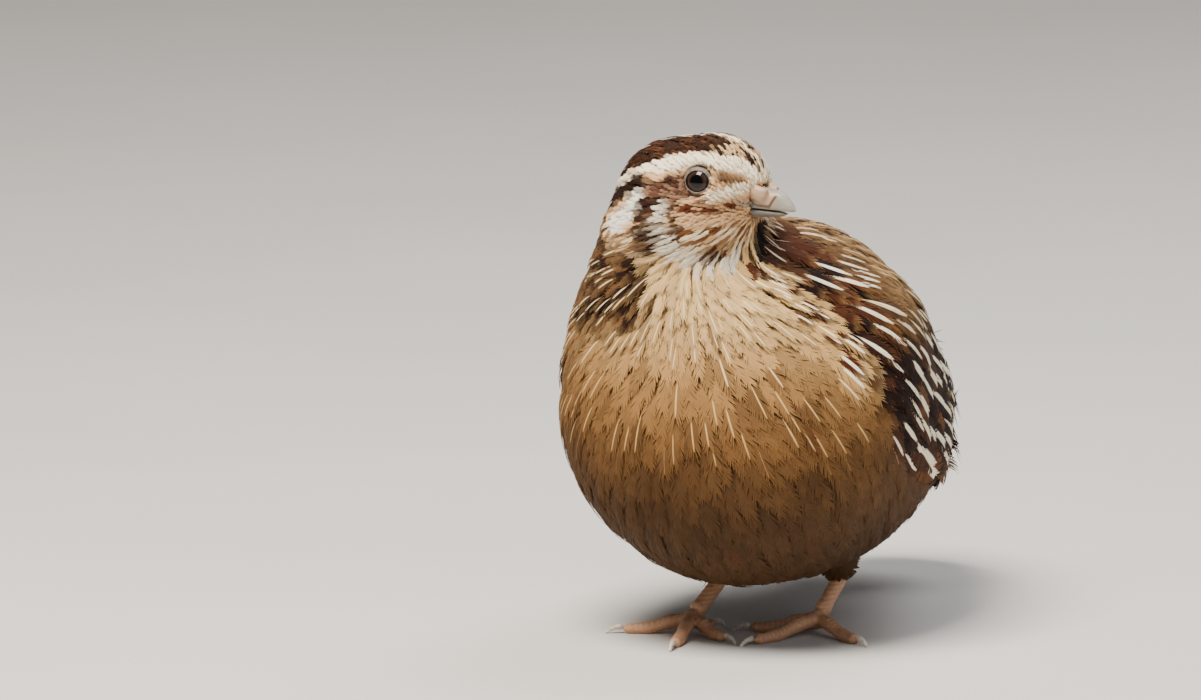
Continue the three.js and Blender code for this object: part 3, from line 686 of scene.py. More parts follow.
def joined_feathers(name, line, over, widths, plans, colours, patch, homes):
    """Many feathers as one mesh, with each one's own map, its patch on the skin's unwrap and its colours."""
    count = len(line)
    ahead = np.gradient(line, axis=1)
    aside = np.cross(ahead, over)
    aside /= np.linalg.norm(aside, axis=2, keepdims=True)
    ground, streak, edge, marks = colours
    every, faces, own_map, bake_map, owner = [], [], [], [], []
    total = 0
    for number, (corners, triangles) in enumerate(plans):
        mine = np.arange(number, count, len(plans))
        if not len(mine):
            continue
        along = np.clip(corners[:, 0], 0, 1) * (STATIONS - 1)
        low = np.minimum(along.astype(int), STATIONS - 2)
        part = (along - low)[None, :, None]
        extra = np.clip(corners[:, 0] - 1, 0, 1)[None, :, None]

        def at(values):
            return values[mine][:, low] * (1 - part) + values[mine][:, low + 1] * part

        middle, side, up = at(line), at(aside), at(over)
        run = np.linalg.norm(line[mine, -1] - line[mine, -2], axis=1)[:, None, None] * (STATIONS - 1)
        tip_way = (line[mine, -1] - line[mine, -2])[:, None, :]
        tip_way = tip_way / np.linalg.norm(tip_way, axis=2, keepdims=True)
        wide = widths[mine][:, None, None] / 2
        place = middle + side * corners[None, :, 1:2] * wide + up * corners[None, :, 2:3] * wide
        place = place + tip_way * extra * run
        every.append(place.reshape(-1, 3))
        shift = total + np.arange(len(mine))[:, None, None] * len(corners)
        faces.append((triangles[None] + shift).reshape(-1, 3))
        laid = np.stack([0.5 + 0.5 * np.clip(corners[:, 1], -1, 1), np.clip(corners[:, 0], 0, 1)], axis=1)
        own_map.append(np.tile(laid, (len(mine), 1)))
        bake_map.append((homes[mine][:, None] + (laid[None] - 0.5) * patch).reshape(-1, 2))
        owner.append(np.repeat(mine, len(corners)))
        total += len(mine) * len(corners)
    every, faces = np.concatenate(every), np.concatenate(faces)
    own_map, bake_map, owner = np.concatenate(own_map), np.concatenate(bake_map), np.concatenate(owner)
    mesh = bpy.data.meshes.new(name)
    mesh.vertices.add(len(every))
    mesh.vertices.foreach_set("co", every.ravel())
    mesh.loops.add(faces.size)
    mesh.loops.foreach_set("vertex_index", faces.ravel())
    mesh.polygons.add(len(faces))
    mesh.polygons.foreach_set("loop_start", np.arange(0, faces.size, 3))
    mesh.polygons.foreach_set("use_smooth", np.ones(len(faces), bool))
    mesh.update(calc_edges=True)
    for label, coordinates in (("OFBake", bake_map), ("Feather", own_map)):
        layer = mesh.uv_layers.new(name=label)
        layer.data.foreach_set("uv", coordinates[faces.ravel()].ravel())
    piece = bpy.data.objects.new(name, mesh)
    bpy.context.scene.collection.objects.link(piece)
    colour_points(piece, "ground", ground[owner])
    colour_points(piece, "streak", streak[owner])
    colour_points(piece, "edge", edge[owner])
    colour_points(piece, "marks", marks[owner])
    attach(piece, "root")
    return piece


# Every triangle of the skin, to sow roots on, and its corners on the unwrap.
skin.data.calc_loop_triangles()
triangle_count = len(skin.data.loop_triangles)
triangle_points = np.empty(triangle_count * 3, int)
triangle_loops = np.empty(triangle_count * 3, int)
skin.data.loop_triangles.foreach_get("vertices", triangle_points)
skin.data.loop_triangles.foreach_get("loops", triangle_loops)
triangle_points = triangle_points.reshape(-1, 3)
unwrap = np.empty(len(skin.data.loops) * 2)
skin.data.uv_layers["OFBake"].data.foreach_get("uv", unwrap)
triangle_unwrap = unwrap.reshape(-1, 2)[triangle_loops.reshape(-1, 3)]
corner = skin_at[triangle_points]
skin_areas = np.linalg.norm(np.cross(corner[:, 1] - corner[:, 0], corner[:, 2] - corner[:, 0]), axis=1) / 2


TRIES = 7  # roots tried for each one that would find room


def sow(wanted, spacing, seed):
    """Roots spread over part of the skin, no two nearer than the spacing there. Scene metres."""
    rng = np.random.default_rng(seed)
    middle = into_bird(corner.mean(axis=1))
    chosen = np.nonzero(wanted(middle))[0]
    gaps = spacing(middle[chosen])
    chance = skin_areas[chosen] / gaps**2
    tries = int(TRIES * chance.sum() / MM**2)
    picked = chosen[rng.choice(len(chosen), size=tries, p=chance / chance.sum())]
    share = rng.random((tries, 2))
    share = np.where(share.sum(axis=1, keepdims=True) > 1, 1 - share, share)
    weights = np.stack([1 - share.sum(axis=1), share[:, 0], share[:, 1]], axis=1)[:, :, None]
    spots = (corner[picked] * weights).sum(axis=1)
    out = (skin_facing[triangle_points[picked]] * weights).sum(axis=1)
    out /= np.linalg.norm(out, axis=1, keepdims=True)
    homes = (triangle_unwrap[picked] * weights).sum(axis=1)
    gap = spacing(into_bird(spots)) * MM
    near = KDTree(tries)
    for i, spot in enumerate(spots):
        near.insert(spot, i)
    near.balance()
    free = np.ones(tries, bool)
    taken = []
    for i in range(tries):
        if free[i]:
            taken.append(i)
            for _, j, _ in near.find_range(spots[i], gap[i]):
                free[j] = False
    return spots[taken], out[taken], homes[taken]


def rise_of(p, rng, lift, slope):
    """How high each station stands over the skin, in metres: sunk at the root, then soon near the coat's
    top. Slope is the share of the rise that goes on evenly to the tip, so that the rows lie clear."""
    depth = coat_depth(p) * rng.uniform(0.96, 1.0, len(p)) + lift
    t = np.linspace(0, 1, STATIONS)[None]
    return (-0.15 + (depth[:, None] + 0.15) * ((1 - slope) * (1 - (1 - t) ** 3) + slope * t)) * MM


def contour_feathers(name, wanted, spacing, length, width, barbs, seed, loose=0.3, sway=5, lift=0.0,
                     streaked=0.35, sweep=0.28, firm=False):
    """One piece of plumage: sows roots, grows the feathers and marks them. Loose is how uneven the barbs'
    ends are, sway the spread of the lie in degrees, and streaked the share that shows a streak."""
    rng = np.random.default_rng(seed)
    roots, out, homes = sow(wanted, spacing, seed)
    p = into_bird(roots)
    ways = lie(p)
    turn = np.radians(rng.normal(0, sway, len(p)))
    ways = ways * np.cos(turn)[:, None] + np.cross(out, ways) * np.sin(turn)[:, None]
    lengths = length(p) * rng.uniform(0.85, 1.15, len(p))
    widths = width(p) * rng.uniform(0.88, 1.12, len(p))
    # Only some feathers show their streak: those that lie uppermost, a little over the rest.
    bold = rng.random(len(p)) < streaked
    lengths *= np.where(bold, BOLD_LONGER, 1)
    rises = rise_of(p, rng, lift + BOLD_RISE * bold, 0.3 if firm else 0.06)
    line, over = grow(roots, out, ways, lengths * MM, rises, bend=0.25 if firm else 0.5)
    shown = into_bird(line[:, int(STATIONS * 0.7)])
    colours = markings(shown, rng)
    colours[3][:, 0] = np.where(bold, colours[3][:, 0], -0.1)
    plans = [feather_plan(barbs, rng, loose, sweep, firm) for _ in range(6)]
    return joined_feathers(name, line, over, widths * MM, plans, colours, HOME_PATCH, homes)


def vane_material(name, barb_pitch, streak_top=0.7):
    """Keratin vane, dull and soft to the eye: a ground colour with a pale streak along the shaft, a lighter
    edge, cross bars and fine barbs. The streak is widest at a share of the way up the shaft."""
    made, tree, shader = new_material(name)
    maths, smooth, mix = "ShaderNodeMath", "ShaderNodeMapRange", "ShaderNodeMix"
    own = add_node(tree, "ShaderNodeUVMap", uv_map="Feather")
    parts = add_node(tree, "ShaderNodeSeparateXYZ", {0: own})
    ground = add_node(tree, "ShaderNodeAttribute", attribute_name="ground")
    streak = add_node(tree, "ShaderNodeAttribute", attribute_name="streak")
    edge = add_node(tree, "ShaderNodeAttribute", attribute_name="edge")
    marks = add_node(tree, "ShaderNodeAttribute", attribute_name="marks")
    mark = add_node(tree, "ShaderNodeSeparateXYZ", {0: marks.outputs["Vector"]})
    where = add_node(tree, "ShaderNodeTexCoord")
    # Across is 0 on the shaft and 1 at the vane's edge, and along runs from root to tip.
    offset = add_node(tree, maths, {0: parts.outputs[0], 1: 2.0, 2: -1.0}, operation="MULTIPLY_ADD")
    across = add_node(tree, maths, {0: offset}, operation="ABSOLUTE")
    along = parts.outputs[1]
    # Barbs run outwards and forwards from the shaft.
    slant = add_node(tree, maths, {0: across, 1: -0.25, 2: along}, operation="MULTIPLY_ADD")
    turns = add_node(tree, maths, {0: slant, 1: 2 * math.pi * barb_pitch}, operation="MULTIPLY")
    ridge = add_node(tree, maths, {0: turns}, operation="SINE")
    noise = {"Vector": where.outputs["Object"], "Scale": grains(SHADE_PATCH), "Detail": 3.0}
    patchy = add_node(tree, "ShaderNodeTexNoise", noise)
    shade = add_node(tree, maths, {0: patchy, 1: 0.3, 2: 0.85}, operation="MULTIPLY_ADD")
    shade = add_node(tree, maths, {0: ridge, 1: 0.05, 2: shade}, operation="MULTIPLY_ADD")
    toned = add_node(tree, "ShaderNodeVectorMath", {0: ground, "Scale": shade}, operation="SCALE")
    # Bars: dark bands across the vane, bent forwards at the edges.
    turns = add_node(tree, maths, {0: slant, 1: 2 * math.pi * BARS}, operation="MULTIPLY")
    wave = add_node(tree, maths, {0: turns}, operation="SINE")
    bar = {"Value": wave, "From Min": 0.1, "From Max": 0.7}
    bar = add_node(tree, smooth, bar, interpolation_type="SMOOTHSTEP")
    bar = add_node(tree, maths, {0: bar, 1: mark.outputs[2]}, operation="MULTIPLY")
    barred = add_node(tree, mix, {"Factor": bar, 6: toned, 7: linear(BAR_BROWN)}, data_type="RGBA")
    # Edge: the outermost barbs and the tip.
    outer = add_node(tree, maths, {0: across, 1: 0.05}, operation="SUBTRACT")
    upper = add_node(tree, maths, {0: along, 1: 0.06}, operation="SUBTRACT")
    outer = add_node(tree, maths, {0: outer, 1: upper}, operation="MAXIMUM")
    rim = {"Value": outer, "From Min": 0.7, "From Max": 0.95}
    rim = add_node(tree, smooth, rim, interpolation_type="SMOOTHSTEP")
    rim = add_node(tree, maths, {0: rim, 1: mark.outputs[1]}, operation="MULTIPLY")
    rimmed = {"Factor": rim, 6: barred.outputs[2], 7: edge}
    rimmed = add_node(tree, mix, rimmed, data_type="RGBA")
    # Streak: pointed at both ends, and long below its widest place.
    rising = {"Value": along, "From Min": 0.1, "From Max": streak_top}
    rising = add_node(tree, smooth, rising, interpolation_type="SMOOTHSTEP")
    closing = {"Value": along, "From Min": 1.02, "From Max": streak_top + 0.1}
    closing = add_node(tree, smooth, closing, interpolation_type="SMOOTHSTEP")
    swell = add_node(tree, maths, {0: rising, 1: closing}, operation="MULTIPLY")
    reach = add_node(tree, maths, {0: mark.outputs[0], 1: swell}, operation="MULTIPLY")
    past = add_node(tree, maths, {0: reach, 1: 0.06}, operation="ADD")
    short = add_node(tree, maths, {0: reach, 1: 0.04}, operation="SUBTRACT")
    strip = {"Value": across, "From Min": past, "From Max": short}
    strip = add_node(tree, smooth, strip, interpolation_type="SMOOTHSTEP")
    streaked = {"Factor": strip, 6: rimmed.outputs[2], 7: streak}
    streaked = add_node(tree, mix, streaked, data_type="RGBA")
    tree.links.new(streaked.outputs[2], shader.inputs["Base Color"])
    bump = add_node(tree, "ShaderNodeBump", {"Height": ridge, "Distance": 0.00005, "Strength": 0.35})
    tree.links.new(bump.outputs["Normal"], shader.inputs["Normal"])
    shader.inputs["Roughness"].default_value = 0.72
    shader.inputs["Specular IOR Level"].default_value = 0.14
    return made


soft_vane = vane_material("contour feather", 22.0)
CHEEK_TOP = -4.5  # height in the head where the cheek's longer feathers begin
LID_EDGE = 3.7
BELLY_TOP = 34


def on_head(p):
    return head_share(p) > 0.5


def off_eye(p):
    """Distance from the line that the eye looks along."""
    forward, aside, up = in_head(p)
    from_eye = np.stack([forward - EYE_FORWARD, np.abs(aside) - EYE_ASIDE, up - EYE_UP], axis=1)
    gaze = np.array([GAZE_FORWARD, 1, GAZE_UP]) / np.linalg.norm([GAZE_FORWARD, 1, GAZE_UP])
    return np.linalg.norm(from_eye - (from_eye @ gaze)[:, None] * gaze, axis=1)


def on_face(p):
    forward, aside, up = in_head(p)
    return on_head(p) & (forward > 2.5) & (up > CHEEK_TOP) & (off_eye(p) > LID_EDGE)


def wing_zone(p):
    """The folded wing: from behind the shoulder back over the flank."""
    start = np.interp(p[:, 2], SIDE_HEIGHT, SIDE_START)
    return (p[:, 1] > start + 5) & (p[:, 2] > 28) & (p[:, 2] < 70) & (np.abs(p[:, 0]) > 14) & (p[:, 1] < 38)


def on_breast(p):
    return ~on_head(p) & (dark_side(p) < 0.5)


def on_neck(p):
    return on_breast(p) & (p[:, 2] > 72) & (p[:, 1] < 0)


def same(value):
    """A size that is the same all over."""
    return lambda p: np.full(len(p), value)


def body_length(p):
    return 9.5 + 2.0 * ease(60, 30, p[:, 2])


def on_low_breast(p):
    return on_breast(p) & ~on_neck(p) & (p[:, 2] > BELLY_TOP)


def on_back(p):
    return ~on_head(p) & ~on_breast(p) & ~on_neck(p) & ~wing_zone(p)


# For each piece: where it grows, the spacing of the roots, the feathers' length and width, the number of
# barbs to a side and the seed.
pieces = [
    contour_feathers("breast_feathers_left", lambda p: on_low_breast(p) & (p[:, 0] >= 0),
                     same(2.05), body_length, same(3.9), 12, 21, streaked=0.22),
    contour_feathers("breast_feathers_right", lambda p: on_low_breast(p) & (p[:, 0] < 0),
                     same(2.05), body_length, same(3.9), 12, 22, streaked=0.22),
    contour_feathers("belly_feathers", lambda p: on_breast(p) & (p[:, 2] <= BELLY_TOP),
                     same(2.3), body_length, same(4.2), 12, 23, loose=0.5, streaked=0.1),
    contour_feathers("neck_feathers", on_neck,
                     same(1.5), same(6.5), same(2.1), 11, 24, loose=0.5, streaked=0.3),
    contour_feathers("back_feathers", on_back,
                     same(2.7), same(12.5), same(4.8), 16, 25, streaked=0.4),
]
for piece in pieces:
    piece.data.materials.append(soft_vane)


# Head feathers. They are the smallest on the bird: tiny on the face, like scales on the cap, and like hairs
# on the cheek and throat. They grow and are marked as those of the body are, around the bare ring of the eye.
def on_cheek(p):
    forward, aside, up = in_head(p)
    return on_head(p) & (up <= CHEEK_TOP) & (forward > -8)


def on_crown(p):
    return on_head(p) & ~on_face(p) & ~on_cheek(p) & (off_eye(p) > LID_EDGE)


fine_vane = vane_material("head feather", 12.0)
head_pieces = [
    contour_feathers("face_feathers", on_face, same(0.6), same(1.6), same(0.7), 5, 31, loose=0.5),
    contour_feathers("crown_feathers", on_crown, same(0.95), same(2.9), same(1.35), 7, 32, loose=0.5),
    contour_feathers("throat_feathers", on_cheek, same(0.95), same(4.4), same(0.95), 8, 33, loose=0.6),
]
for piece in head_pieces:
    piece.data.materials.append(fine_vane)


# Wing feathers. Firm vanes over the folded wing: coverts, and from under them the long flight feathers at the
# rear. The coverts grow as the body's feathers do, and the flight feathers stand in rows along the wing.
firm_vane = vane_material("wing feather", 30.0, 0.88)
WING_AT = np.array([36.0, 16.0, 57.0])
WING_PITCH = math.radians(-26)
FLIGHT_ROOT_RISE = 0.6
FLIGHT_BARBS = 36
FIRM_PATCH, PATCH_STEP = 0.024, 0.03  # a large feather's patch on the unwrap, and the room for it
FLIGHT_ROWS = [
    # Place along the wing, highest and lowest root, how many, length, width, rise from root to tip.
    (6, 13, -12, 7, 18, 8.0, 2.0),
    (13, 9, -10, 6, 16, 7.5, 2.0),
]


def flight_feathers(name, sign, seed):
    rng = np.random.default_rng(seed)
    roots, out, lengths, widths, tops = [], [], [], [], []
    for along, high, low, count, length, width, top in FLIGHT_ROWS:
        for i in range(count):
            up = high + (low - high) * i / (count - 1)
            place = along + 3 * (up / 16) ** 2
            y = WING_AT[1] + place * math.cos(WING_PITCH) - up * math.sin(WING_PITCH)
            z = WING_AT[2] + place * math.sin(WING_PITCH) + up * math.cos(WING_PITCH)
            start = Vector(out_of_bird([sign * 60, y, z]))
            hit, normal, _, _ = skin_tree.ray_cast(start, Vector((-sign, 0, 0)))
            roots.append(hit)
            out.append(normal)
            lengths.append(length * rng.uniform(0.95, 1.05))
            widths.append(width * rng.uniform(0.95, 1.05))
            tops.append(top)
    roots, out = np.array(roots), np.array(out)
    lengths, widths, tops = np.array(lengths), np.array(widths), np.array(tops)
    p = into_bird(roots)
    t = np.linspace(0, 1, STATIONS)
    rises = (FLIGHT_ROOT_RISE + tops[:, None] * t[None]) * MM
    line, over = grow(roots, out, lie(p), lengths * MM, rises, keep=0.9, stiff=0.15, bend=0.12)
    n = len(p)
    ground = np.tile(rgb("#3A2114"), (n, 1))
    paint(ground, rng.random(n) < 0.4, "#241410")
    streak = np.tile(rgb("#E2D2AE"), (n, 1))
    edge = np.tile(rgb("#9A7446"), (n, 1))
    marks = np.tile([0.11, 0.8, 0.35], (n, 1))
    homes = 0.02 + PATCH_STEP * np.stack([np.arange(n) % 10, np.arange(n) // 10], axis=1)
    plans = [feather_plan(FLIGHT_BARBS, rng, 0.05, 0.1, True) for _ in range(3)]
    colours = (ground, streak, edge, marks)
    return joined_feathers(name, line, over, widths * MM, plans, colours, FIRM_PATCH, homes)


for side, sign in (("left", 1), ("right", -1)):
    coverts = contour_feathers(f"wing_coverts_{side}", lambda p: wing_zone(p) & (p[:, 0] * sign > 0),
                               same(4.3), same(14.5), same(7.4), 20, 40 + sign, loose=0.1, lift=0.4,
                               streaked=0.6, sweep=0.14, firm=True)
    flights = flight_feathers(f"flight_feathers_{side}", sign, 50 + sign)
    for piece in (coverts, flights):
        piece.data.materials.append(firm_vane)
    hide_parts(f"wing_{side}")


# Tail. Ten short rectrices in a drooping fan under the rump's coverts. They have the wing's firm vanes, and
# are rooted side by side in the rump, every second one laid over its neighbours.
TAIL_ROOT = np.array([0.0, 54.0, 46.0])
TAIL_TIP = np.array([0.0, 76.0, 32.0])
RECTRICES = 10
RECTRIX_LENGTH, RECTRIX_WIDTH, RECTRIX_BARBS = 33.5, 10.5, 48
FAN_TURN, FAN_HALF = 11, 7.5  # how far the outermost turn outwards, and half the width at the roots
SIDE_SHORTER = 0.1  # share by which the outermost are shorter
FAN_DROP, SIDE_DROP, TIP_DROP = 1.2, 2.4, 1.5  # how far the fan hangs below its axis
RECTRIX_GAP = 0.25
rng = np.random.default_rng(61)
fall = (TAIL_TIP - TAIL_ROOT) / np.linalg.norm(TAIL_TIP - TAIL_ROOT)
upward = np.cross([1, 0, 0], fall)
line = np.empty((RECTRICES, STATIONS, 3))
over = np.tile(upward, (RECTRICES, STATIONS, 1))
for i in range(RECTRICES):
    place = -1 + 2 * i / (RECTRICES - 1)
    turn = math.radians(FAN_TURN * place)
    along = fall * math.cos(turn) + np.array([math.sin(turn), 0, 0])
    root = TAIL_ROOT + fall * 4 + [FAN_HALF * place, 0, 0]
    for k in range(STATIONS):
        t = k / (STATIONS - 1)
        drop = (FAN_DROP + SIDE_DROP * place**2) * (0.6 + 0.6 * t) + TIP_DROP * t * t - RECTRIX_GAP * (i % 2)
        spot = root + along * t * RECTRIX_LENGTH * (1 - SIDE_SHORTER * place**2) - upward * drop
        line[i, k] = out_of_bird(spot)
tail_colours = [np.tile(rgb(colour), (RECTRICES, 1)) for colour in ("#472C1A", "#D8C096", "#A27C4C")]
tail_colours.append(np.tile([0.04, 0.6, 0.6], (RECTRICES, 1)))
homes = np.stack([0.36 + PATCH_STEP * np.arange(RECTRICES), np.full(RECTRICES, 0.02)], axis=1)
plans = [feather_plan(RECTRIX_BARBS, rng, 0.03, 0.1, True) for _ in range(3)]
widths = np.full(RECTRICES, RECTRIX_WIDTH) * MM
tail = joined_feathers("tail_feathers", line, over, widths, plans, tail_colours, FIRM_PATCH, homes)
tail.data.materials.append(firm_vane)
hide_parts("tail")


# Eyes. Glass balls with a black pupil in a dark brown iris, set in the skin's sockets, each under a ring of
# bare, creased grey lid.
LID_GRAIN = 0.455
LID_RADIUS, LID_THICK = 2.85, 0.42
LID_OVER = 0.12  # height of the lid's middle over the ball
LID_WIDER, LID_LOWER = 1.08, 0.94  # the opening is a little wider than high
CREASES = 24

# Polished glass, coloured from behind: a sharp highlight over near black.
eye_glass, tree, shader = new_material("glass eye")
where = add_node(tree, "ShaderNodeUVMap", uv_map="UVMap")
parts = add_node(tree, "ShaderNodeSeparateXYZ", {0: where.outputs["UV"]})
tone = add_node(tree, "ShaderNodeValToRGB", {"Fac": parts.outputs[1]})
ramp = tone.color_ramp
ramp.elements[0].position, ramp.elements[0].color = 0.0, linear("#241812")
ramp.elements[1].position, ramp.elements[1].color = 1.0, linear("#020202")
for position, colour in ((0.8, "#1A120D"), (0.82, "#33261D"), (0.87, "#20160F"), (0.885, "#030202")):
    ramp.elements.new(position).color = linear(colour)
tree.links.new(tone.outputs["Color"], shader.inputs["Base Color"])
shader.inputs["Roughness"].default_value = 0.06
shader.inputs["IOR"].default_value = 1.38

# Thin dry skin: grainy and half dull.
lid_skin, tree, shader = new_material("bare lid skin")
where = add_node(tree, "ShaderNodeTexCoord")
noise = {"Vector": where.outputs["Object"], "Scale": grains(LID_GRAIN), "Detail": 3.0}
grain = add_node(tree, "ShaderNodeTexNoise", noise)
tone = add_node(tree, "ShaderNodeValToRGB", {"Fac": grain.outputs["Fac"]})
tone.color_ramp.elements[0].position, tone.color_ramp.elements[0].color = 0.3, linear("#4E4238")
tone.color_ramp.elements[1].position, tone.color_ramp.elements[1].color = 0.7, linear("#85776A")
tree.links.new(tone.outputs["Color"], shader.inputs["Base Color"])
bump = add_node(tree, "ShaderNodeBump", {"Height": grain.outputs["Fac"], "Distance": 0.0001, "Strength": 0.5})
tree.links.new(bump.outputs["Normal"], shader.inputs["Normal"])
shader.inputs["Roughness"].default_value = 0.6

for side, sign in (("left", -1), ("right", 1)):
    low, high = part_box(f"eye_{side}")
    centre = (low + high) / 2
    turn = Vector(gaze_of(sign)).to_track_quat("Z", "Y").to_matrix().to_4x4()
    bpy.ops.object.select_all(action="DESELECT")
    bpy.ops.mesh.primitive_uv_sphere_add(segments=64, ring_count=48, radius=EYE_RADIUS * MM,
                                         location=(0, 0, 0))
    eye = bpy.context.object
    eye.name = f"eyeball_{side}"
    eye.data.transform(Matrix.Translation(centre) @ turn)
    bpy.ops.object.shade_smooth()
    eye.data.materials.append(eye_glass)
    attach(eye, "root")
    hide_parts(f"eye_{side}")

    bpy.ops.object.select_all(action="DESELECT")
    bpy.ops.mesh.primitive_torus_add(major_radius=LID_RADIUS * MM, minor_radius=LID_THICK * MM,
                                     major_segments=72, minor_segments=16, location=(0, 0, 0))
    lid = bpy.context.object
    lid.name = f"lid_{side}"
    ring, _ = points_of(lid)
    ring /= MM
    around = np.arctan2(ring[:, 1], ring[:, 0])
    reach = np.hypot(ring[:, 0], ring[:, 1])
    crease = 1 + 0.03 * np.sin(around * CREASES) * ease(2.5, 2.9, reach)
    flare = ease(2.3, 3.1, reach)
    ring[:, 0] *= crease * (LID_WIDER + 0.08 * flare)
    ring[:, 1] *= crease * (LID_LOWER + 0.10 * flare)
    reach = np.hypot(ring[:, 0], ring[:, 1])
    ring[:, 2] = ring[:, 2] * 0.6 + np.sqrt(np.maximum((EYE_RADIUS + LID_OVER) ** 2 - reach**2, 0.2))
    lid.data.vertices.foreach_set("co", (ring * MM).ravel())
    lid.data.transform(Matrix.Translation(centre) @ turn)
    bpy.ops.object.shade_smooth()
    lid.data.materials.append(lid_skin)
    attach(lid, "root")


# Bill. Two halves of grey horn, paler at the tip and darker below, with a soft fleshy flap over each nostril.
# The solids of the halves are rounded, the ridge is raised, and the colours follow the place on the bill.
HORN_GRAIN = 0.714
HORN_VOXEL = 0.22
RIDGE_RISE, RIDGE_AT, RIDGE_RUN = 1.0, 24.6, 2.4
NOSTRIL_FLAP = [(14.5, 3.2), (18.5, 2.4), (22.2, 0.4)]  # ahead of the head's middle, and above it
NOSTRIL_SLIT = [(17.4, -0.2), (20.0, -1.0), (22.6, -1.3), (24.0, 0.2)]

# Grown horn: satin, with a faint grain.
horn, tree, shader = new_material("bill horn")
tint = add_node(tree, "ShaderNodeAttribute", attribute_name="tint")
where = add_node(tree, "ShaderNodeTexCoord")
noise = {"Vector": where.outputs["Object"], "Scale": grains(HORN_GRAIN), "Detail": 4.0}
grain = add_node(tree, "ShaderNodeTexNoise", noise)
tone = add_node(tree, "ShaderNodeMapRange", {"Value": grain, "To Min": 0.88, "To Max": 1.1})
mixed = add_node(tree, "ShaderNodeVectorMath", {0: tint, "Scale": tone}, operation="SCALE")
tree.links.new(mixed.outputs[0], shader.inputs["Base Color"])
bump = add_node(tree, "ShaderNodeBump", {"Height": grain, "Distance": 0.0001, "Strength": 0.25})
tree.links.new(bump.outputs["Normal"], shader.inputs["Normal"])
shader.inputs["Roughness"].default_value = 0.42

for node in ("bill_upper", "bill_lower"):
    piece = copy_of([node], node + "_horn")
    modified(piece, "REMESH", mode="VOXEL", voxel_size=HORN_VOXEL * MM)
    modified(piece, "SMOOTH", factor=0.5, iterations=24)
    at, facing = points_of(piece)
    p = into_bird(at)
    forward, aside, up = in_head(p)
    if node == "bill_upper":
        # The ridge stays high until it falls steeply to the tip.
        p[:, 2] += RIDGE_RISE * np.exp(-(((forward - RIDGE_AT) / RIDGE_RUN) ** 2)) * ease(-2.4, 0.5, up)
        piece.data.vertices.foreach_set("co", out_of_bird(p).ravel())
        piece.data.update()
    only(piece)
    bpy.ops.object.shade_smooth()
    tint = np.tile(rgb("#7D7970"), (len(at), 1))
    paint(tint, ease(21, 26, forward) * 0.5, "#A19B8F")
    paint(tint, ease(16.5, 13.5, forward), "#A88A70")
    if node == "bill_lower":
        paint(tint, ease(-1.8, -3.2, up) * 0.7, "#4A423A")
    if node == "bill_upper":
        side_on = np.stack([forward, up], axis=1)
        flap = band(side_on, NOSTRIL_FLAP, 2.0, 1.0)
        paint(tint, flap * ease(0.5, 1.8, np.abs(aside)), "#A98A6E")
        slit = band(side_on, NOSTRIL_SLIT, 0.28, 0.15)
        paint(tint, slit * ease(0.8, 1.2, np.abs(aside)), "#54402F")
    colour_points(piece, "tint", tint)
    piece.data.materials.append(horn)
    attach(piece, "root")
    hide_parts(node)


# Legs and feet. Flesh-coloured skin in scutes: wide plates across the front of the shank and the toes' tops.
# Each leg is one piece, run together from the solids of its shank and foot, with the plates raised on it.
FOOT_AT = {"left": np.array([13.5, 5.5, 0]), "right": np.array([-11.4, -5.6, 0])}
SHANK_FROM = 4.0
SCUTE, SCUTE_RISE = 1.15, 0.14
SCALE_SIZE = 0.588
LEG_SWELL, LEG_VOXEL = 0.18, 0.3

# Horny skin in small scales: half dull, a little translucent, darker between the scales.
scaly, tree, shader = new_material("scaly leg skin")
tint = add_node(tree, "ShaderNodeAttribute", attribute_name="tint")
where = add_node(tree, "ShaderNodeTexCoord")
noise = {"Vector": where.outputs["Object"], "Scale": grains(SCALE_SIZE)}
cells = add_node(tree, "ShaderNodeTexVoronoi", noise)
tone = add_node(tree, "ShaderNodeMapRange", {"Value": cells, "From Max": 0.6, "To Min": 1.08, "To Max": 0.86})
mixed = add_node(tree, "ShaderNodeVectorMath", {0: tint, "Scale": tone}, operation="SCALE")
tree.links.new(mixed.outputs[0], shader.inputs["Base Color"])
bump = add_node(tree, "ShaderNodeBump", {"Height": cells, "Distance": 0.0001, "Strength": 0.4}, invert=True)
tree.links.new(bump.outputs["Normal"], shader.inputs["Normal"])
shader.inputs["Roughness"].default_value = 0.55
shader.inputs["Subsurface Weight"].default_value = 0.08
shader.inputs["Subsurface Scale"].default_value = 0.002

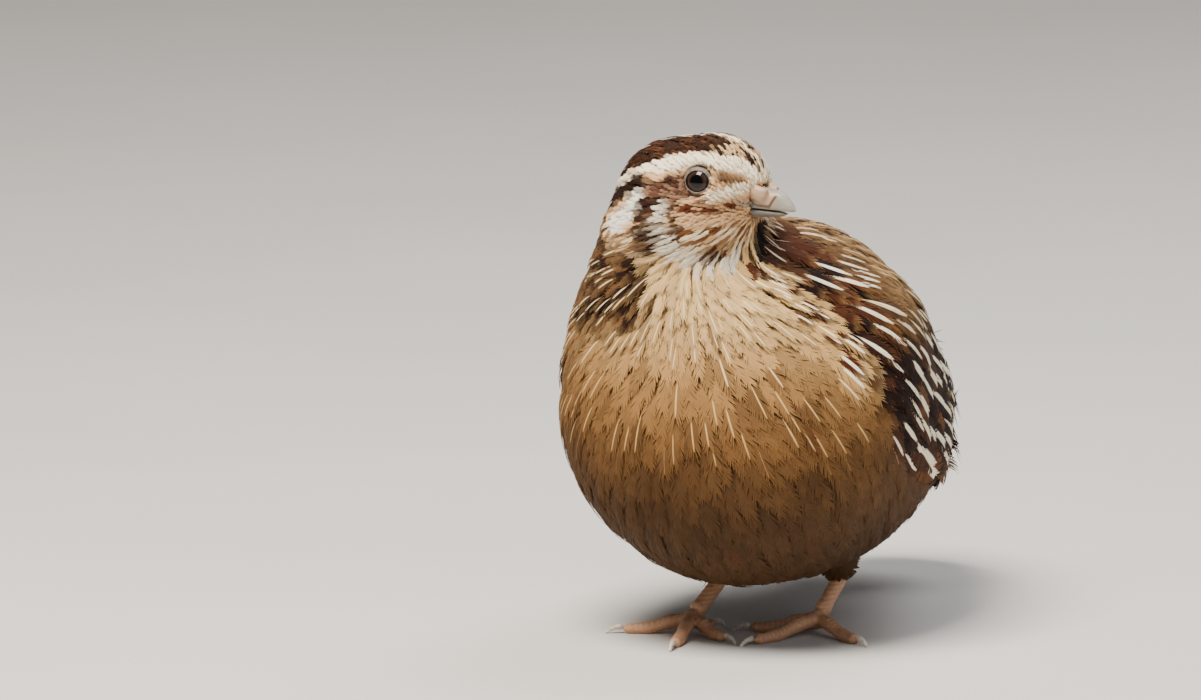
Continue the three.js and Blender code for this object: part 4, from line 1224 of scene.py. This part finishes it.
for side in ("left", "right"):
    piece = copy_of([f"foot_{side}", f"shank_{side}"], f"leg_{side}")
    modified(piece, "DISPLACE", strength=LEG_SWELL * MM, mid_level=0)
    modified(piece, "REMESH", mode="VOXEL", voxel_size=LEG_VOXEL * MM)
    modified(piece, "SMOOTH", factor=0.5, iterations=8)
    at, facing = points_of(piece)
    p = into_bird(at)
    shank = ease(SHANK_FROM - 0.4, SHANK_FROM + 0.8, p[:, 2])
    run = np.linalg.norm((p - FOOT_AT[side])[:, :2], axis=1)
    run += (p[:, 2] * 1.3 - run) * shank
    front = ease(0.1, 0.7, facing[:, 2]) * (1 - shank) + ease(-0.3, 0.5, -facing[:, 1]) * shank
    wave = np.abs(np.sin(np.pi * run / SCUTE)) ** 0.5
    p += facing * ((wave - 0.8) * SCUTE_RISE * front)[:, None]
    p[:, 2] = np.maximum(p[:, 2], 0)
    piece.data.vertices.foreach_set("co", out_of_bird(p).ravel())
    piece.data.update()
    tint = np.tile(rgb("#D3A27C"), (len(p), 1))
    paint(tint, (1 - wave) * front * 0.55, "#8A5C40")
    # Painted shade: the undersides of the toes, and the top of the shank under the body, are painted darker.
    paint(tint, ease(0.2, -0.6, facing[:, 2]) * 0.4, "#A87852")
    paint(tint, ease(9, 15, p[:, 2]) * 0.5, "#8F6644")
    colour_points(piece, "tint", tint)
    only(piece)
    bpy.ops.object.shade_smooth()
    piece.data.materials.append(scaly)
    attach(piece, "root")
    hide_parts(f"foot_{side}", f"shank_{side}")


# Claws. Blunt points of pale horn, one on each toe, rounded from their solids. Their horn is satin, as the
# bill's is, and mottled from brownish to nearly white.
CLAW_GRAIN = 0.667
CLAW_VOXEL = 0.14
claw_horn, tree, shader = new_material("claw horn")
where = add_node(tree, "ShaderNodeTexCoord")
noise = {"Vector": where.outputs["Object"], "Scale": grains(CLAW_GRAIN), "Detail": 3.0}
grain = add_node(tree, "ShaderNodeTexNoise", noise)
tone = add_node(tree, "ShaderNodeValToRGB", {"Fac": grain})
tone.color_ramp.elements[0].position, tone.color_ramp.elements[0].color = 0.3, linear("#B8A898")
tone.color_ramp.elements[1].position, tone.color_ramp.elements[1].color = 0.7, linear("#E0D8CC")
tree.links.new(tone.outputs["Color"], shader.inputs["Base Color"])
bump = add_node(tree, "ShaderNodeBump", {"Height": grain.outputs["Fac"], "Distance": 0.0001, "Strength": 0.3})
tree.links.new(bump.outputs["Normal"], shader.inputs["Normal"])
shader.inputs["Roughness"].default_value = 0.4
for side in ("left", "right"):
    for toe in ("inner", "middle", "outer", "hind"):
        node = f"claw_{toe}_{side}"
        piece = copy_of([node], node + "_horn")
        modified(piece, "REMESH", mode="VOXEL", voxel_size=CLAW_VOXEL * MM)
        modified(piece, "SMOOTH", factor=0.5, iterations=4)
        only(piece)
        bpy.ops.object.shade_smooth()
        piece.data.materials.append(claw_horn)
        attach(piece, "root")
        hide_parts(node)
